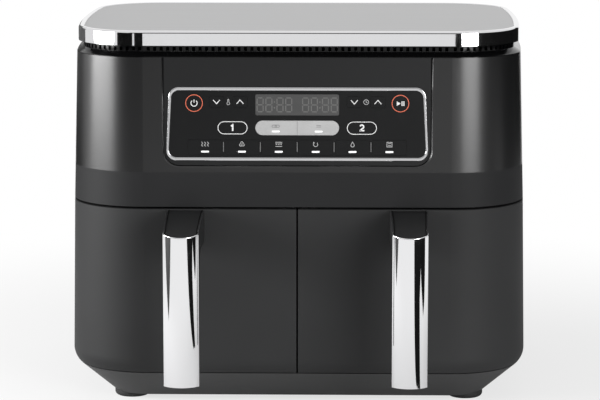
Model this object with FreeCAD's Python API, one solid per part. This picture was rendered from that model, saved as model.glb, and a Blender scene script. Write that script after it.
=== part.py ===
import FreeCAD, Part
import math
import os

V = FreeCAD.Vector
ACROSS = V(1, 0, 0)
BACK = V(0, 1, 0)
UP = V(0, 0, 1)

# A two-drawer air fryer. All sizes are in millimetres. The front faces -Y and the feet stand on z = 0.

# Overall sizes: the body without its handles, how far the handles stand out, the plan's corners,
# and how far the sides bow out between those corners
BODY_WIDTH = 388.0
BODY_DEPTH = 285.0
HANDLE_REACH = 71.0
PLAN_RADIUS = 65.0
SIDE_BOW = 2.8

# Heights of the layers, from the table up
FOOT_HEIGHT = 5.2
BASE_HEIGHT = 25.9
DRAWER_HEIGHT = 137.7
SEAM_GAP = 1.9
HOUSING_HEIGHT = 122.8
VENT_HEIGHT = 9.5
LID_HEIGHT = 12.0

# How far the skin lies inside the plan at the base, the seam, the top, the vent band and the lid
BASE_INSET = 34.5
SEAM_INSET = 2.4
TOP_INSET = 5.9
VENT_INSET = 11.5
LID_INSET = 7.2
KNEE_RADIUS = 17.0
KNEE_RISE = 3.5

# Walls, and the gaps that show between the outer pieces
SHELL_WALL = 2.5
DRAWER_WALL = 3.0
DRAWER_FLANGE = 2.5
DRAWER_FLANGE_DEPTH = 7.5
DRAWER_EDGE_ROUND = 1.0
PAN_WALL = 3.2
PAN_FLOOR = 3.0
PAN_RIB = 3.0
PAN_RIB_PLACES = (-0.8, -0.3, 0.3, 0.8)
BASE_GAP = 0.8
SPLIT_GAP = 1.4
WRAP_DEPTH = 62.0
WRAP_GAP = 0.9
SHELF_DEPTH = 11.0

# Feet, set outwards from the middles of the base's round corners
FOOT_RADIUS = 15.0
FOOT_ROUND = 3.5
FOOT_SHIFT_X = 15.0
FOOT_SHIFT_Y = 7.0

# Vent band: a sloping shoulder under a row of upright slots
VENT_WALL = 2.5
VENT_LIP = 0.6
VENT_SLOPE = 3.8
SLOT_PITCH = 5.3
SLOT_WIDTH = 2.6
SLOT_HEIGHT = 3.4
SLOT_RISE = 0.4

# Lid: a bright rim round an inset plate
RIM_WIDTH = 5.0
RIM_ROUND = 2.0
RIM_BEVEL = 0.5
RIM_LEDGE = 4.8
RIM_LEDGE_THICKNESS = 2.5
RIM_SEAT_MARGIN = 0.5
PLATE_THICKNESS = 3.0
PLATE_GAP = 0.2

# Fascia and the control panel's frame, measured down from the top of the housing
FASCIA_HALF_WIDTH = 109.6
FASCIA_HEIGHT = 89.2
FASCIA_ROUND = 13.0
FASCIA_GAP = 0.5
FASCIA_BEVEL = 1.2
FASCIA_THICKNESS = 3.0
FRAME_DROP = 24.0
FRAME_HEIGHT = 60.8
FRAME_TOP_HALF = 105.0
FRAME_BOTTOM_HALF = 107.8
FRAME_ROUND = 8.5
FRAME_BAR = 2.9
FRAME_SIDE = 2.4
FRAME_DEPTH = 1.8
FRAME_EDGE_ROUND = 0.8
PANEL_THICKNESS = 1.0
PANEL_GAP = 0.1
PANEL_SEAT = 0.8

# Control panel layout: distances across from the middle, and up from the frame's lower edge
ROUND_KEY_X = 84.3
ROUND_KEY_RISE = 47.6
ROUND_KEY_RADIUS = 7.5
ARROW_KEY_X = (46.7, 65.9)
ARROW_KEY_RISE = 48.7
ARROW_KEY_WIDTH = 12.0
ARROW_KEY_HEIGHT = 9.0
ARROW_KEY_ROUND = 2.0
ZONE_KEY_X = 52.9
ZONE_KEY_RISE = 27.3
ZONE_KEY_WIDTH = 24.9
ZONE_KEY_HEIGHT = 11.1
PAIR_KEY_WIDTH = 34.1
PAIR_KEY_HEIGHT = 11.9
FUNCTION_KEY_COUNT = 6
FUNCTION_KEY_PITCH = 30.2
FUNCTION_KEY_RISE = 11.0
FUNCTION_KEY_WIDTH = 28.0
FUNCTION_KEY_HEIGHT = 12.5
FUNCTION_KEY_ROUND = 1.5
DISPLAY_HALF_WIDTH = 34.2
DISPLAY_RISE = 46.3
DISPLAY_HEIGHT = 17.3
DISPLAY_ROUND = 1.5
KEY_GAP = 0.2
KEY_LIP = 0.8
KEY_LIP_THICKNESS = 1.2
KEY_SEAT_GAP = 0.1
KEY_DEPTH = 5.1
KEY_TRAVEL = 0.5
SWITCH_GAP = 0.2
SWITCH_SIZE = 6.0
SWITCH_HEIGHT = 3.0
BOARD_THICKNESS = 1.6
BOARD_EDGE = 1.7
BOARD_BOSS_RADIUS = 2.4
BOARD_BOSS_RISES = (15.0, 46.0)

# Cooking chambers: sheet boxes beside a middle gap, each with a dome for its heater and fan
CHAMBER_MIDDLE_GAP = 7.4
CHAMBER_SIDE_SPACE = 14.3
CHAMBER_FRONT_SPACE = 43.0
CHAMBER_BACK_SPACE = 45.0
CHAMBER_LIFT = 3.8
CHAMBER_DROP = 5.5
SHEET = 1.0
RUNNER_HEIGHT = 2.0
RUNNER_WIDTH = 6.0
RUNNER_SPACING = 90.0
DOME_RADIUS = 75.0
DOME_HEIGHT = 32.0

# Drawer bins, their crisper plates and the gaps that they run with
RUNNING_GAP = 0.3
BIN_FRONT_SPACE = 24.0
BIN_WALL = 1.5
BIN_SIDE_GAP = 5.5
BIN_HEADROOM = 14.0
BIN_ROUND = 25.0
BIN_FLOOR_ROUND = 9.0
BIN_LIP = 3.5
PAD_WIDTH = 70.0
PAD_HEIGHT = 60.0
PLATE_SHEET = 1.6
PLATE_RISE = 17.0
PLATE_MARGIN = 3.0
LEG_RADIUS = 4.0
LEG_INSET = 22.0
LEG_GAP = 0.2
HOLE_LENGTH = 15.0
HOLE_WIDTH = 4.5
HOLE_PITCH_X = 21.0
HOLE_PITCH_Y = 13.0
HOLE_BORDER = 16.0
BUMPER_LENGTH = 16.0
BUMPER_HEIGHT = 6.0
BUMPER_GRIP = 2.0

# Handles: a root on the drawer, an arm and a hanging grip with a bright half-round trim
HANDLE_WIDTH = 28.5
HANDLE_ROOT_WIDTH = 30.8
HANDLE_BOTTOM = 4.2
HANDLE_TOP_DROP = 0.9
HANDLE_FRONT_DROP = 11.9
HANDLE_CREST = 2.6
HANDLE_ARM = 29.0
HANDLE_GRIP_DEPTH = 18.0
HANDLE_THROAT = 20.0
TRIM_BULGE = 7.0
TRIM_WALL = 1.5
TRIM_GAP = 0.1
GRIP_ROUND = 5.0

# Heaters, guards, fans and motors, stacked on one upright axis over each chamber
HEATER_TUBE = 3.25
HEATER_OUTER = 67.0
HEATER_INNER = 55.0
HEATER_RISE = 8.0
HEATER_BEND = 8.0
HEATER_TAIL = 20.0
HEATER_START = 100.0
HEATER_SWEEP = 320.0
HEATER_GAP = 0.25
GUARD_LAP = 4.0
GUARD_THICKNESS = 1.5
GUARD_RINGS = 8
GUARD_BAR = 3.0
GUARD_SPOKES = 6
SHAFT_RADIUS = 4.0
SHAFT_GAP = 0.3
HUB_GAP = 0.05
FAN_RADIUS = 48.0
FAN_DISC = 1.5
FAN_BLADE_HEIGHT = 10.0
FAN_BLADE = 1.2
FAN_BLADES = 12
FAN_HUB = 11.0
FAN_CEILING_GAP = 5.0
SHAFT_END = 2.0
MOTOR_RADIUS = 28.0
MOTOR_HEIGHT = 38.0
MOTOR_FLANGE = 2.0
MOTOR_FLANGE_RADIUS = 36.0
MOTOR_FINS = 16
MOTOR_FIN = 1.5
MOTOR_FIN_WIDTH = 2.0
COOLING_FAN_RADIUS = 38.0
COOLING_FAN_HEIGHT = 10.0
COOLING_FAN_GAP = 6.0
COOLING_FAN_BLADES = 7
COOLING_FAN_PITCH = 35.0

# Rear cover with louvres, its screws, and the cord's gland
COVER_HALF_WIDTH = 110.0
COVER_BOTTOM = 30.0
COVER_TOP = 24.0
COVER_GAP = 0.4
COVER_ROUND = 10.0
LOUVRE_COUNT = 11
LOUVRE_PITCH = 9.0
LOUVRE_WIDTH = 62.0
LOUVRE_HEIGHT = 4.0
LOUVRE_X = 48.0
LOUVRE_DROP = 26.0
SCREW_HEAD_RADIUS = 3.5
SCREW_HEAD = 1.6
SCREW_SINK = 1.2
SCREW_RADIUS = 1.75
SCREW_LENGTH = 9.0
SCREW_GAP = 0.2
SCREW_SLOT_WIDTH = 0.9
SCREW_SLOT_LENGTH = 5.0
SCREW_INSET = 6.5
TAB_SIZE = 14.0
TAB_DEPTH = 7.0
GLAND_X = 78.0
GLAND_RISE = 24.0
GLAND_BORE = 3.8
GLAND_BARREL = 7.0
GLAND_FLANGE = 10.5
GLAND_FLANGE_THICKNESS = 2.0
GLAND_SINK = 1.2
GLAND_NUT = 10.0
GLAND_NUT_THICKNESS = 4.0

# Inner boards, probes and door switches
POWER_BOARD_LENGTH = 250.0
POWER_BOARD_DEPTH = 30.0
POWER_BOARD_RISE = 6.0
POST_RADIUS = 3.0
POST_INSET = 8.0
# each block's place across, width, depth and height; each can's place across, radius and height
BOARD_BLOCKS = {
    "transformer": (-88.0, 36.0, 24.0, 30.0),
    "left relay": (-44.0, 20.0, 16.0, 16.0),
    "right relay": (-18.0, 20.0, 16.0, 16.0),
    "terminals": (60.0, 44.0, 12.0, 12.0),
    "mains filter": (106.0, 24.0, 20.0, 22.0),
}
BOARD_CANS = {
    "large capacitor": (10.0, 8.0, 26.0),
    "small capacitor": (27.0, 6.0, 20.0),
}
PROBE_RADIUS = 2.5
PROBE_REACH = 6.0
PROBE_X = 55.0
PROBE_DROP = 6.0
PROBE_HEAD_RADIUS = 5.0
PROBE_HEAD = 9.0
DOOR_SWITCH_X = 50.0
DOOR_SWITCH_RISE = 62.0
DOOR_SWITCH_WIDTH = 20.0
DOOR_SWITCH_HEIGHT = 10.0
DOOR_SWITCH_DEPTH = 12.0
PLUNGER_RADIUS = 1.8
HOLE_GAP = 0.2

# Levels and places that follow from the sizes above
BASE_EDGE_Z = FOOT_HEIGHT + BASE_HEIGHT
BASE_TOP_Z = BASE_EDGE_Z - BASE_GAP
KNEE_Z = BASE_EDGE_Z + KNEE_RISE
SEAM_Z = BASE_EDGE_Z + DRAWER_HEIGHT
HOUSING_Z = SEAM_Z + SEAM_GAP
HOUSING_TOP_Z = HOUSING_Z + HOUSING_HEIGHT
LID_Z = HOUSING_TOP_Z + VENT_HEIGHT
TOP_Z = LID_Z + LID_HEIGHT
HALF_WIDTH = BODY_WIDTH / 2
FRONT_Y = (HANDLE_REACH - BODY_DEPTH) / 2
BACK_Y = FRONT_Y + BODY_DEPTH
HANDLE_FRONT_Y = FRONT_Y - HANDLE_REACH
CORNER_X = HALF_WIDTH - PLAN_RADIUS - SIDE_BOW
CORNER_FRONT_Y = FRONT_Y + PLAN_RADIUS
CORNER_BACK_Y = BACK_Y - PLAN_RADIUS
MIDDLE_Y = (FRONT_Y + BACK_Y) / 2
SIDE_RADIUS = PLAN_RADIUS + ((MIDDLE_Y - CORNER_FRONT_Y) ** 2 + SIDE_BOW ** 2) / (2 * SIDE_BOW)
SIDE_X = HALF_WIDTH - SIDE_RADIUS
SIDE_TURN = math.degrees(math.asin((MIDDLE_Y - CORNER_FRONT_Y) / (SIDE_RADIUS - PLAN_RADIUS)))
WRAP_Y = FRONT_Y + WRAP_DEPTH
FASCIA_Y = FRONT_Y + TOP_INSET
FASCIA_BOTTOM_Z = HOUSING_TOP_Z - FASCIA_HEIGHT
PANEL_Y = FASCIA_Y - PANEL_THICKNESS
FRAME_TOP_Z = HOUSING_TOP_Z - FRAME_DROP
FRAME_BOTTOM_Z = FRAME_TOP_Z - FRAME_HEIGHT
BOARD_Y = PANEL_Y + KEY_DEPTH + KEY_TRAVEL + SWITCH_GAP + SWITCH_HEIGHT
CHAMBER_INNER_X = CHAMBER_MIDDLE_GAP / 2
CHAMBER_OUTER_X = HALF_WIDTH - CHAMBER_SIDE_SPACE
CHAMBER_HALF = (CHAMBER_OUTER_X - CHAMBER_INNER_X) / 2
DRAWER_X = (CHAMBER_OUTER_X + CHAMBER_INNER_X) / 2
CHAMBER_FRONT_Y = FRONT_Y + CHAMBER_FRONT_SPACE
CHAMBER_BACK_Y = BACK_Y - CHAMBER_BACK_SPACE
CHAMBER_BOTTOM_Z = BASE_TOP_Z + CHAMBER_LIFT
CHAMBER_TOP_Z = HOUSING_Z - CHAMBER_DROP
CEILING_Z = CHAMBER_TOP_Z - SHEET
DOME_TOP_Z = CHAMBER_TOP_Z + DOME_HEIGHT
BIN_BOTTOM_Z = CHAMBER_BOTTOM_Z + SHEET + RUNNER_HEIGHT + RUNNING_GAP
BIN_TOP_Z = CEILING_Z - BIN_HEADROOM
BIN_HALF = CHAMBER_HALF - SHEET - BIN_SIDE_GAP
BIN_FRONT_Y = FRONT_Y + BIN_FRONT_SPACE
BIN_BACK_Y = CHAMBER_BACK_Y - SHEET - BIN_SIDE_GAP
FAN_Y = (BIN_FRONT_Y + BIN_BACK_Y) / 2
FAN_TOP_Z = DOME_TOP_Z - SHEET - FAN_CEILING_GAP
MOTOR_TOP_Z = DOME_TOP_Z + MOTOR_HEIGHT
COVER_BOTTOM_Z = BASE_EDGE_Z + COVER_BOTTOM
COVER_TOP_Z = HOUSING_TOP_Z - COVER_TOP
SIDES = {"left": -1, "right": 1}
FAR = 1000.0
OVERSHOOT = 1.0
TOUCH = 1e-6


def skin_inset(z):
    """How far the drawers' and the housing's outer skin lies inside the plan at a height."""
    if z <= SEAM_Z:
        return SEAM_INSET * (z - KNEE_Z) / (SEAM_Z - KNEE_Z)
    return SEAM_INSET + (TOP_INSET - SEAM_INSET) * (z - SEAM_Z) / (HOUSING_TOP_Z - SEAM_Z)


def knee_points():
    """The rounded knee between side and base: upper tangent point, lower one, and centre (inset, z)."""
    corner = V(0, KNEE_Z, 0)
    along_side = V(SEAM_INSET, SEAM_Z - KNEE_Z, 0).normalize()
    along_base = V(BASE_INSET, FOOT_HEIGHT - KNEE_Z, 0).normalize()
    half = along_side.getAngle(along_base) / 2
    reach = KNEE_RADIUS / math.tan(half)
    towards = (along_side + along_base).normalize()
    centre = corner + towards * (KNEE_RADIUS / math.sin(half))
    return corner + along_side * reach, corner + along_base * reach, centre


KNEE_UPPER, KNEE_LOWER, KNEE_CENTRE = knee_points()


def knee_inset(z):
    """How far the knee's round skin lies inside the plan at a height."""
    return KNEE_CENTRE.x - math.sqrt(KNEE_RADIUS ** 2 - (z - KNEE_CENTRE.y) ** 2)


def section_point(inset, z):
    """A point of a wall's cross-section, drawn at the left end of the front's straight stretch."""
    return V(-CORNER_X, FRONT_Y + inset, z)


def knee_point(z):
    return section_point(knee_inset(z), z)


def knee_arc(z_from, z_to):
    """One step of an outline that follows the knee's round: its middle point and its end."""
    return knee_point((z_from + z_to) / 2), knee_point(z_to)


def outline(start, *steps):
    """A closed face. Each step is a point to draw a line to, or (middle, end) to draw an arc through."""
    edges = []
    last = start
    for step in (*steps, start):
        if isinstance(step, tuple):
            middle, end = step
            edges.append(Part.Arc(last, middle, end).toShape())
        else:
            end = step
            edges.append(Part.makeLine(last, end))
        last = end
    return Part.Face(Part.Wire(edges))


def rounded_polygon(points, radii):
    """A closed face through the points, with each corner rounded by its own radius."""
    corners = []
    for i, corner in enumerate(points):
        to_last = (points[i - 1] - corner).normalize()
        to_next = (points[(i + 1) % len(points)] - corner).normalize()
        half = to_last.getAngle(to_next) / 2
        reach = radii[i] / math.tan(half)
        towards = (to_last + to_next).normalize()
        middle = corner + towards * (radii[i] / math.sin(half) - radii[i])
        corners.append((corner + to_last * reach, middle, corner + to_next * reach))
    edges = []
    for i, (start, middle, end) in enumerate(corners):
        if radii[i] > 0:
            edges.append(Part.Arc(start, middle, end).toShape())
        following = corners[(i + 1) % len(points)][0]
        if (following - end).Length > TOUCH:
            edges.append(Part.makeLine(end, following))
    return Part.Face(Part.Wire(edges))


def box(x, y, z):
    """A plain box from (low, high) pairs."""
    return Part.makeBox(x[1] - x[0], y[1] - y[0], z[1] - z[0], V(x[0], y[0], z[0]))


def rounded_box(x, y, z, radius):
    """A box from (low, high) pairs with rounded upright edges."""
    points = [V(x[0], y[0], z[0]), V(x[1], y[0], z[0]), V(x[1], y[1], z[0]), V(x[0], y[1], z[0])]
    return rounded_polygon(points, [radius] * 4).extrude(UP * (z[1] - z[0]))


def upright_plate(x, z, y, radius):
    """A plate that faces the front, from (low, high) pairs, with rounded corners."""
    points = [V(x[0], y[0], z[0]), V(x[1], y[0], z[0]), V(x[1], y[0], z[1]), V(x[0], y[0], z[1])]
    return rounded_polygon(points, [radius] * 4).extrude(BACK * (y[1] - y[0]))


def upright_rod(x, y, z, radius):
    return Part.makeCylinder(radius, z[1] - z[0], V(x, y, z[0]), UP)


def level_rod(x, y, z, radius):
    """A rod along the depth, from the (low, high) pair y."""
    return Part.makeCylinder(radius, y[1] - y[0], V(x, y[0], z), BACK)


def join(shapes):
    return shapes[0].multiFuse(shapes[1:]).removeSplitter()


def bottom_edges(solid):
    low = solid.BoundBox.ZMin
    return [edge for edge in solid.Edges if edge.BoundBox.ZMax < low + TOUCH]


def plan_arcs():
    """The plan's turns, counter-clockwise from the right end of the front: (centre, radius, from, to)."""
    turn = SIDE_TURN
    return [
        (V(CORNER_X, CORNER_FRONT_Y, 0), PLAN_RADIUS, -90, -turn),
        (V(SIDE_X, MIDDLE_Y, 0), SIDE_RADIUS, -turn, turn),
        (V(CORNER_X, CORNER_BACK_Y, 0), PLAN_RADIUS, turn, 90),
        (V(-CORNER_X, CORNER_BACK_Y, 0), PLAN_RADIUS, 90, 180 - turn),
        (V(-SIDE_X, MIDDLE_Y, 0), SIDE_RADIUS, 180 - turn, 180 + turn),
        (V(-CORNER_X, CORNER_FRONT_Y, 0), PLAN_RADIUS, 180 + turn, 270),
    ]


def sweep_round_plan(section):
    """Carry a cross-section once round the plan: the straight front and back, the corners and the sides."""
    arcs = plan_arcs()
    pieces = []
    for run, turns in ((ACROSS * 2 * CORNER_X, arcs[:3]), (-ACROSS * 2 * CORNER_X, arcs[3:])):
        pieces.append(section.extrude(run))
        section = section.translated(run)
        for centre, _, start, end in turns:
            pieces.append(section.revolve(centre, UP, end - start))
            section = section.rotated(centre, UP, end - start)
    return join(pieces)


def on_arc(centre, radius, degrees):
    turn = math.radians(degrees)
    return centre + V(math.cos(turn), math.sin(turn), 0) * radius


def plan_slab(inset, z):
    """A slab that fills the plan, drawn in by an inset, between two heights."""
    steps = []
    for centre, radius, start, end in plan_arcs():
        reach = radius - inset
        if abs(start) == 90:
            steps.append(on_arc(centre, reach, start))
        steps.append((on_arc(centre, reach, (start + end) / 2), on_arc(centre, reach, end)))
    return outline(*steps).translated(UP * z[0]).extrude(UP * (z[1] - z[0]))


def base_pan():
    """The tapered pan under the body, with cross ribs that carry the two chambers."""
    floor_top = FOOT_HEIGHT + PAN_FLOOR
    wall = sweep_round_plan(outline(
        knee_point(BASE_TOP_Z),
        knee_arc(BASE_TOP_Z, KNEE_LOWER.y),
        section_point(BASE_INSET, FOOT_HEIGHT),
        section_point(BASE_INSET + 2 * PAN_WALL, FOOT_HEIGHT),
        section_point(BASE_INSET + 2 * PAN_WALL, floor_top),
        section_point(BASE_INSET + PAN_WALL / 2, floor_top),
        section_point(knee_inset(BASE_TOP_Z) + PAN_WALL, BASE_TOP_Z),
    ))
    pieces = [wall, plan_slab(BASE_INSET + PAN_WALL, (FOOT_HEIGHT, floor_top))]
    for place in PAN_RIB_PLACES:
        rib_y = FAN_Y + place * (CHAMBER_BACK_Y - FAN_Y)
        y = (rib_y - PAN_RIB / 2, rib_y + PAN_RIB / 2)
        pieces.append(box((-CORNER_X, CORNER_X), y, (floor_top, CHAMBER_BOTTOM_Z)))
    return join(pieces)


def feet(pan):
    """Four rubber feet under the base's corners, trimmed where the pan sits on them."""
    top = FOOT_HEIGHT + PAN_FLOOR
    inside = plan_slab(BASE_INSET, (FOOT_HEIGHT, top))
    pads = []
    for x in (-CORNER_X - FOOT_SHIFT_X, CORNER_X + FOOT_SHIFT_X):
        for y in (CORNER_FRONT_Y - FOOT_SHIFT_Y, CORNER_BACK_Y + FOOT_SHIFT_Y):
            pad = upright_rod(x, y, (0, top), FOOT_RADIUS)
            pad = pad.makeFillet(FOOT_ROUND, bottom_edges(pad))
            pads.extend(pad.cut(inside).cut(pan).Solids)
    return Part.makeCompound(pads)


def housing_wall():
    """The outer wall all the way round, from the pan's edge to the vent band."""
    return sweep_round_plan(outline(
        knee_point(BASE_TOP_Z),
        knee_arc(BASE_TOP_Z, KNEE_UPPER.y),
        section_point(SEAM_INSET, SEAM_Z),
        section_point(TOP_INSET, HOUSING_TOP_Z),
        section_point(TOP_INSET + SHELL_WALL, HOUSING_TOP_Z),
        section_point(SEAM_INSET + SHELL_WALL, SEAM_Z),
        section_point(KNEE_UPPER.x + SHELL_WALL, KNEE_UPPER.y),
        section_point(knee_inset(BASE_TOP_Z) + SHELL_WALL, BASE_TOP_Z),
    ))


def shelf():
    """A ledge behind the housing's lower front edge, which hides the space over the drawers."""
    inset = skin_inset(HOUSING_Z) + SHELL_WALL / 2
    ring = sweep_round_plan(outline(
        section_point(inset, HOUSING_Z),
        section_point(inset, HOUSING_Z + SHELL_WALL),
        section_point(SHELF_DEPTH, HOUSING_Z + SHELL_WALL),
        section_point(SHELF_DEPTH, HOUSING_Z),
    ))
    return ring.common(box((-FAR, FAR), (-FAR, WRAP_Y), (0, FAR)))


def fascia_outline(gap):
    """The fascia's window: open at the top, with round lower corners. The gap narrows it."""
    half = FASCIA_HALF_WIDTH - gap
    low = FASCIA_BOTTOM_Z + gap
    points = [V(-half, 0, HOUSING_TOP_Z), V(-half, 0, low), V(half, 0, low), V(half, 0, HOUSING_TOP_Z)]
    return rounded_polygon(points, [0, FASCIA_ROUND - gap, FASCIA_ROUND - gap, 0])


def fascia_edges(shell):
    """The outer edges of the fascia's window in the housing's front wall."""
    near = SHELL_WALL / 4
    window = fascia_outline(0).OuterWire
    edges = []
    for edge in shell.Edges:
        middle = edge.valueAt((edge.FirstParameter + edge.LastParameter) / 2)
        on_skin = abs(middle.y - FRONT_Y - skin_inset(middle.z)) < near
        on_window = window.distToShape(Part.Vertex(middle.x, 0, middle.z))[0] < near
        if on_skin and on_window and middle.z < HOUSING_TOP_Z - TOUCH:
            edges.append(edge)
    return edges


def cover_block(gap):
    """The block that cuts the rear cover's window out of the back wall. The gap narrows it."""
    x = (gap - COVER_HALF_WIDTH, COVER_HALF_WIDTH - gap)
    z = (COVER_BOTTOM_Z + gap, COVER_TOP_Z - gap)
    return upright_plate(x, z, (CORNER_BACK_Y, BACK_Y + SHELL_WALL), COVER_ROUND - gap)


def screw_places():
    """(x, z) of the six screws along the rear cover's two upright edges."""
    x = COVER_HALF_WIDTH - SCREW_INSET
    low = COVER_BOTTOM_Z + 2 * SCREW_INSET
    high = COVER_TOP_Z - 2 * SCREW_INSET
    return [(side * x, z) for side in SIDES.values() for z in (low, (low + high) / 2, high)]


def back_skin_y(z):
    return BACK_Y - skin_inset(z)


def housing(wall):
    """The upper shell: it wraps the sides and back, and opens for the drawers, the fascia and the cover."""
    tabs = []
    for x, z in screw_places():
        reach = math.copysign(TAB_SIZE, x)
        inner = back_skin_y(z) - SHELL_WALL
        x_pair = sorted((x - reach / 2, x + reach))
        tab = box(x_pair, (inner - TAB_DEPTH, BACK_Y), (z - TAB_SIZE / 2, z + TAB_SIZE / 2))
        tab = tab.cut(wall)
        tab = min(tab.Solids, key=lambda solid: solid.BoundBox.YMin)
        thread = level_rod(x, (inner - FAR, BACK_Y), z, SCREW_RADIUS + SCREW_GAP / 2)
        tabs.append(tab.cut(thread))
    shell = wall.cut(box((-FAR, FAR), (-FAR, WRAP_Y + WRAP_GAP), (0, HOUSING_Z)))
    shell = shell.cut(fascia_outline(0).extrude(-BACK * FAR))
    shell = shell.makeChamfer(FASCIA_BEVEL, fascia_edges(shell))
    shell = shell.cut(cover_block(0))
    return join([shell, shelf(), *tabs])


def rear_cover(wall):
    """The service panel in the back wall, with two columns of louvres and a hole for the gland."""
    cover = wall.common(cover_block(COVER_GAP))
    cuts = []
    for side in SIDES.values():
        for row in range(LOUVRE_COUNT):
            x = (side * LOUVRE_X - LOUVRE_WIDTH / 2, side * LOUVRE_X + LOUVRE_WIDTH / 2)
            top = COVER_TOP_Z - LOUVRE_DROP - row * LOUVRE_PITCH
            z = (top - LOUVRE_HEIGHT, top)
            cuts.append(upright_plate(x, z, (CORNER_BACK_Y, BACK_Y), LOUVRE_HEIGHT / 2))
    for x, z in screw_places():
        seat = back_skin_y(z) - SCREW_SINK
        cuts.append(level_rod(x, (seat, BACK_Y), z, SCREW_HEAD_RADIUS + SCREW_GAP))
        cuts.append(level_rod(x, (CORNER_BACK_Y, BACK_Y), z, SCREW_RADIUS + SCREW_GAP))
    gland_z = COVER_BOTTOM_Z + GLAND_RISE
    seat = back_skin_y(gland_z) - GLAND_SINK
    cuts.append(level_rod(GLAND_X, (seat, BACK_Y), gland_z, GLAND_FLANGE + HOLE_GAP))
    cuts.append(level_rod(GLAND_X, (CORNER_BACK_Y, BACK_Y), gland_z, GLAND_BARREL + HOLE_GAP))
    return cover.cut(Part.makeCompound(cuts))


def screws():
    """The six screws that hold the rear cover."""
    solids = []
    for x, z in screw_places():
        seat = back_skin_y(z) - SCREW_SINK
        head = level_rod(x, (seat, seat + SCREW_HEAD), z, SCREW_HEAD_RADIUS)
        shank = level_rod(x, (seat - SCREW_LENGTH, seat), z, SCREW_RADIUS)
        slot_x = (x - SCREW_SLOT_LENGTH / 2, x + SCREW_SLOT_LENGTH / 2)
        slot_z = (z - SCREW_SLOT_WIDTH / 2, z + SCREW_SLOT_WIDTH / 2)
        slot = box(slot_x, (seat + SCREW_HEAD / 2, BACK_Y), slot_z)
        cross = slot.rotated(V(x, 0, z), BACK, 90)
        solids.append(head.fuse(shank).cut(slot).cut(cross).Solids[0])
    return Part.makeCompound(solids)


def cord_gland():
    """The bush where a mains cord enters: a flange outside, a barrel, and a nut inside the cover."""
    z = COVER_BOTTOM_Z + GLAND_RISE
    seat = back_skin_y(z) - GLAND_SINK
    inner = seat - (SHELL_WALL - GLAND_SINK) - RUNNING_GAP
    flange = level_rod(GLAND_X, (seat, seat + GLAND_FLANGE_THICKNESS), z, GLAND_FLANGE)
    rim = [edge for edge in flange.Edges if edge.BoundBox.YMin > seat + GLAND_FLANGE_THICKNESS / 2]
    flange = flange.makeFillet(GLAND_FLANGE_THICKNESS / 3, rim[:1])
    barrel = level_rod(GLAND_X, (inner - GLAND_NUT_THICKNESS, seat), z, GLAND_BARREL)
    nut = level_rod(GLAND_X, (inner - GLAND_NUT_THICKNESS, inner), z, GLAND_NUT)
    bore = level_rod(GLAND_X, (CORNER_BACK_Y, BACK_Y + FAR), z, GLAND_BORE)
    return join([flange, barrel, nut]).cut(bore)


def vent_slots():
    """Upright slots at an even pitch round the band: along the straight runs and round the turns."""
    low = HOUSING_TOP_Z + VENT_LIP + VENT_SLOPE + SLOT_RISE
    z = (low, low + SLOT_HEIGHT)
    depth = VENT_INSET + 2 * VENT_WALL
    slots = []
    count = int(2 * CORNER_X / SLOT_PITCH)
    for i in range(count):
        x = (i - (count - 1) / 2) * SLOT_PITCH
        for y in ((FRONT_Y, FRONT_Y + depth), (BACK_Y - depth, BACK_Y)):
            slots.append(box((x - SLOT_WIDTH / 2, x + SLOT_WIDTH / 2), y, z))
    for centre, radius, start, end in plan_arcs():
        count = int((radius - VENT_INSET) * math.radians(end - start) / SLOT_PITCH)
        slot = box((radius - depth, radius), (-SLOT_WIDTH / 2, SLOT_WIDTH / 2), z)
        for i in range(count):
            turn = start + (i + 0.5) * (end - start) / count
            slots.append(slot.rotated(V(0, 0, 0), UP, turn).translated(centre))
    return Part.makeCompound(slots)


def vent_ring():
    """The dark band between housing and lid: a sloping shoulder and a slotted wall."""
    shoulder = HOUSING_TOP_Z + VENT_LIP
    ring = sweep_round_plan(outline(
        section_point(TOP_INSET, HOUSING_TOP_Z),
        section_point(TOP_INSET, shoulder),
        section_point(VENT_INSET, shoulder + VENT_SLOPE),
        section_point(VENT_INSET, LID_Z),
        section_point(VENT_INSET + VENT_WALL, LID_Z),
        section_point(VENT_INSET + VENT_WALL, shoulder + VENT_SLOPE - VENT_LIP),
        section_point(TOP_INSET + SHELL_WALL, HOUSING_TOP_Z),
    ))
    return ring.cut(vent_slots())


def lid_rim():
    """The bright rim of the lid, with a ledge inside that carries the plate."""
    inner = LID_INSET + RIM_WIDTH
    seat = VENT_INSET + VENT_WALL + RIM_SEAT_MARGIN
    ledge = TOP_Z - PLATE_THICKNESS - RIM_BEVEL
    bend = RIM_ROUND * (1 - math.sqrt(0.5))
    return sweep_round_plan(outline(
        section_point(LID_INSET, LID_Z),
        section_point(LID_INSET, TOP_Z - RIM_ROUND),
        (section_point(LID_INSET + bend, TOP_Z - bend), section_point(LID_INSET + RIM_ROUND, TOP_Z)),
        section_point(inner - RIM_BEVEL, TOP_Z),
        section_point(inner, TOP_Z - RIM_BEVEL),
        section_point(inner, ledge),
        section_point(inner + RIM_LEDGE, ledge),
        section_point(inner + RIM_LEDGE, ledge - RIM_LEDGE_THICKNESS),
        section_point(seat, ledge - RIM_LEDGE_THICKNESS),
        section_point(seat, LID_Z),
    ))


def lid_plate():
    """The satin plate that lies inside the rim."""
    top = TOP_Z - RIM_BEVEL
    return plan_slab(LID_INSET + RIM_WIDTH + PLATE_GAP, (top - PLATE_THICKNESS, top))


def frame_outline(bar, side):
    """The control panel's frame outline, drawn in by a bar's height and a side's width."""
    low = FRAME_BOTTOM_Z + bar
    high = FRAME_TOP_Z - bar
    points = [
        V(side - FRAME_BOTTOM_HALF, 0, low),
        V(FRAME_BOTTOM_HALF - side, 0, low),
        V(FRAME_TOP_HALF - side, 0, high),
        V(side - FRAME_TOP_HALF, 0, high),
    ]
    return rounded_polygon(points, [FRAME_ROUND - side] * 4)


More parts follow.
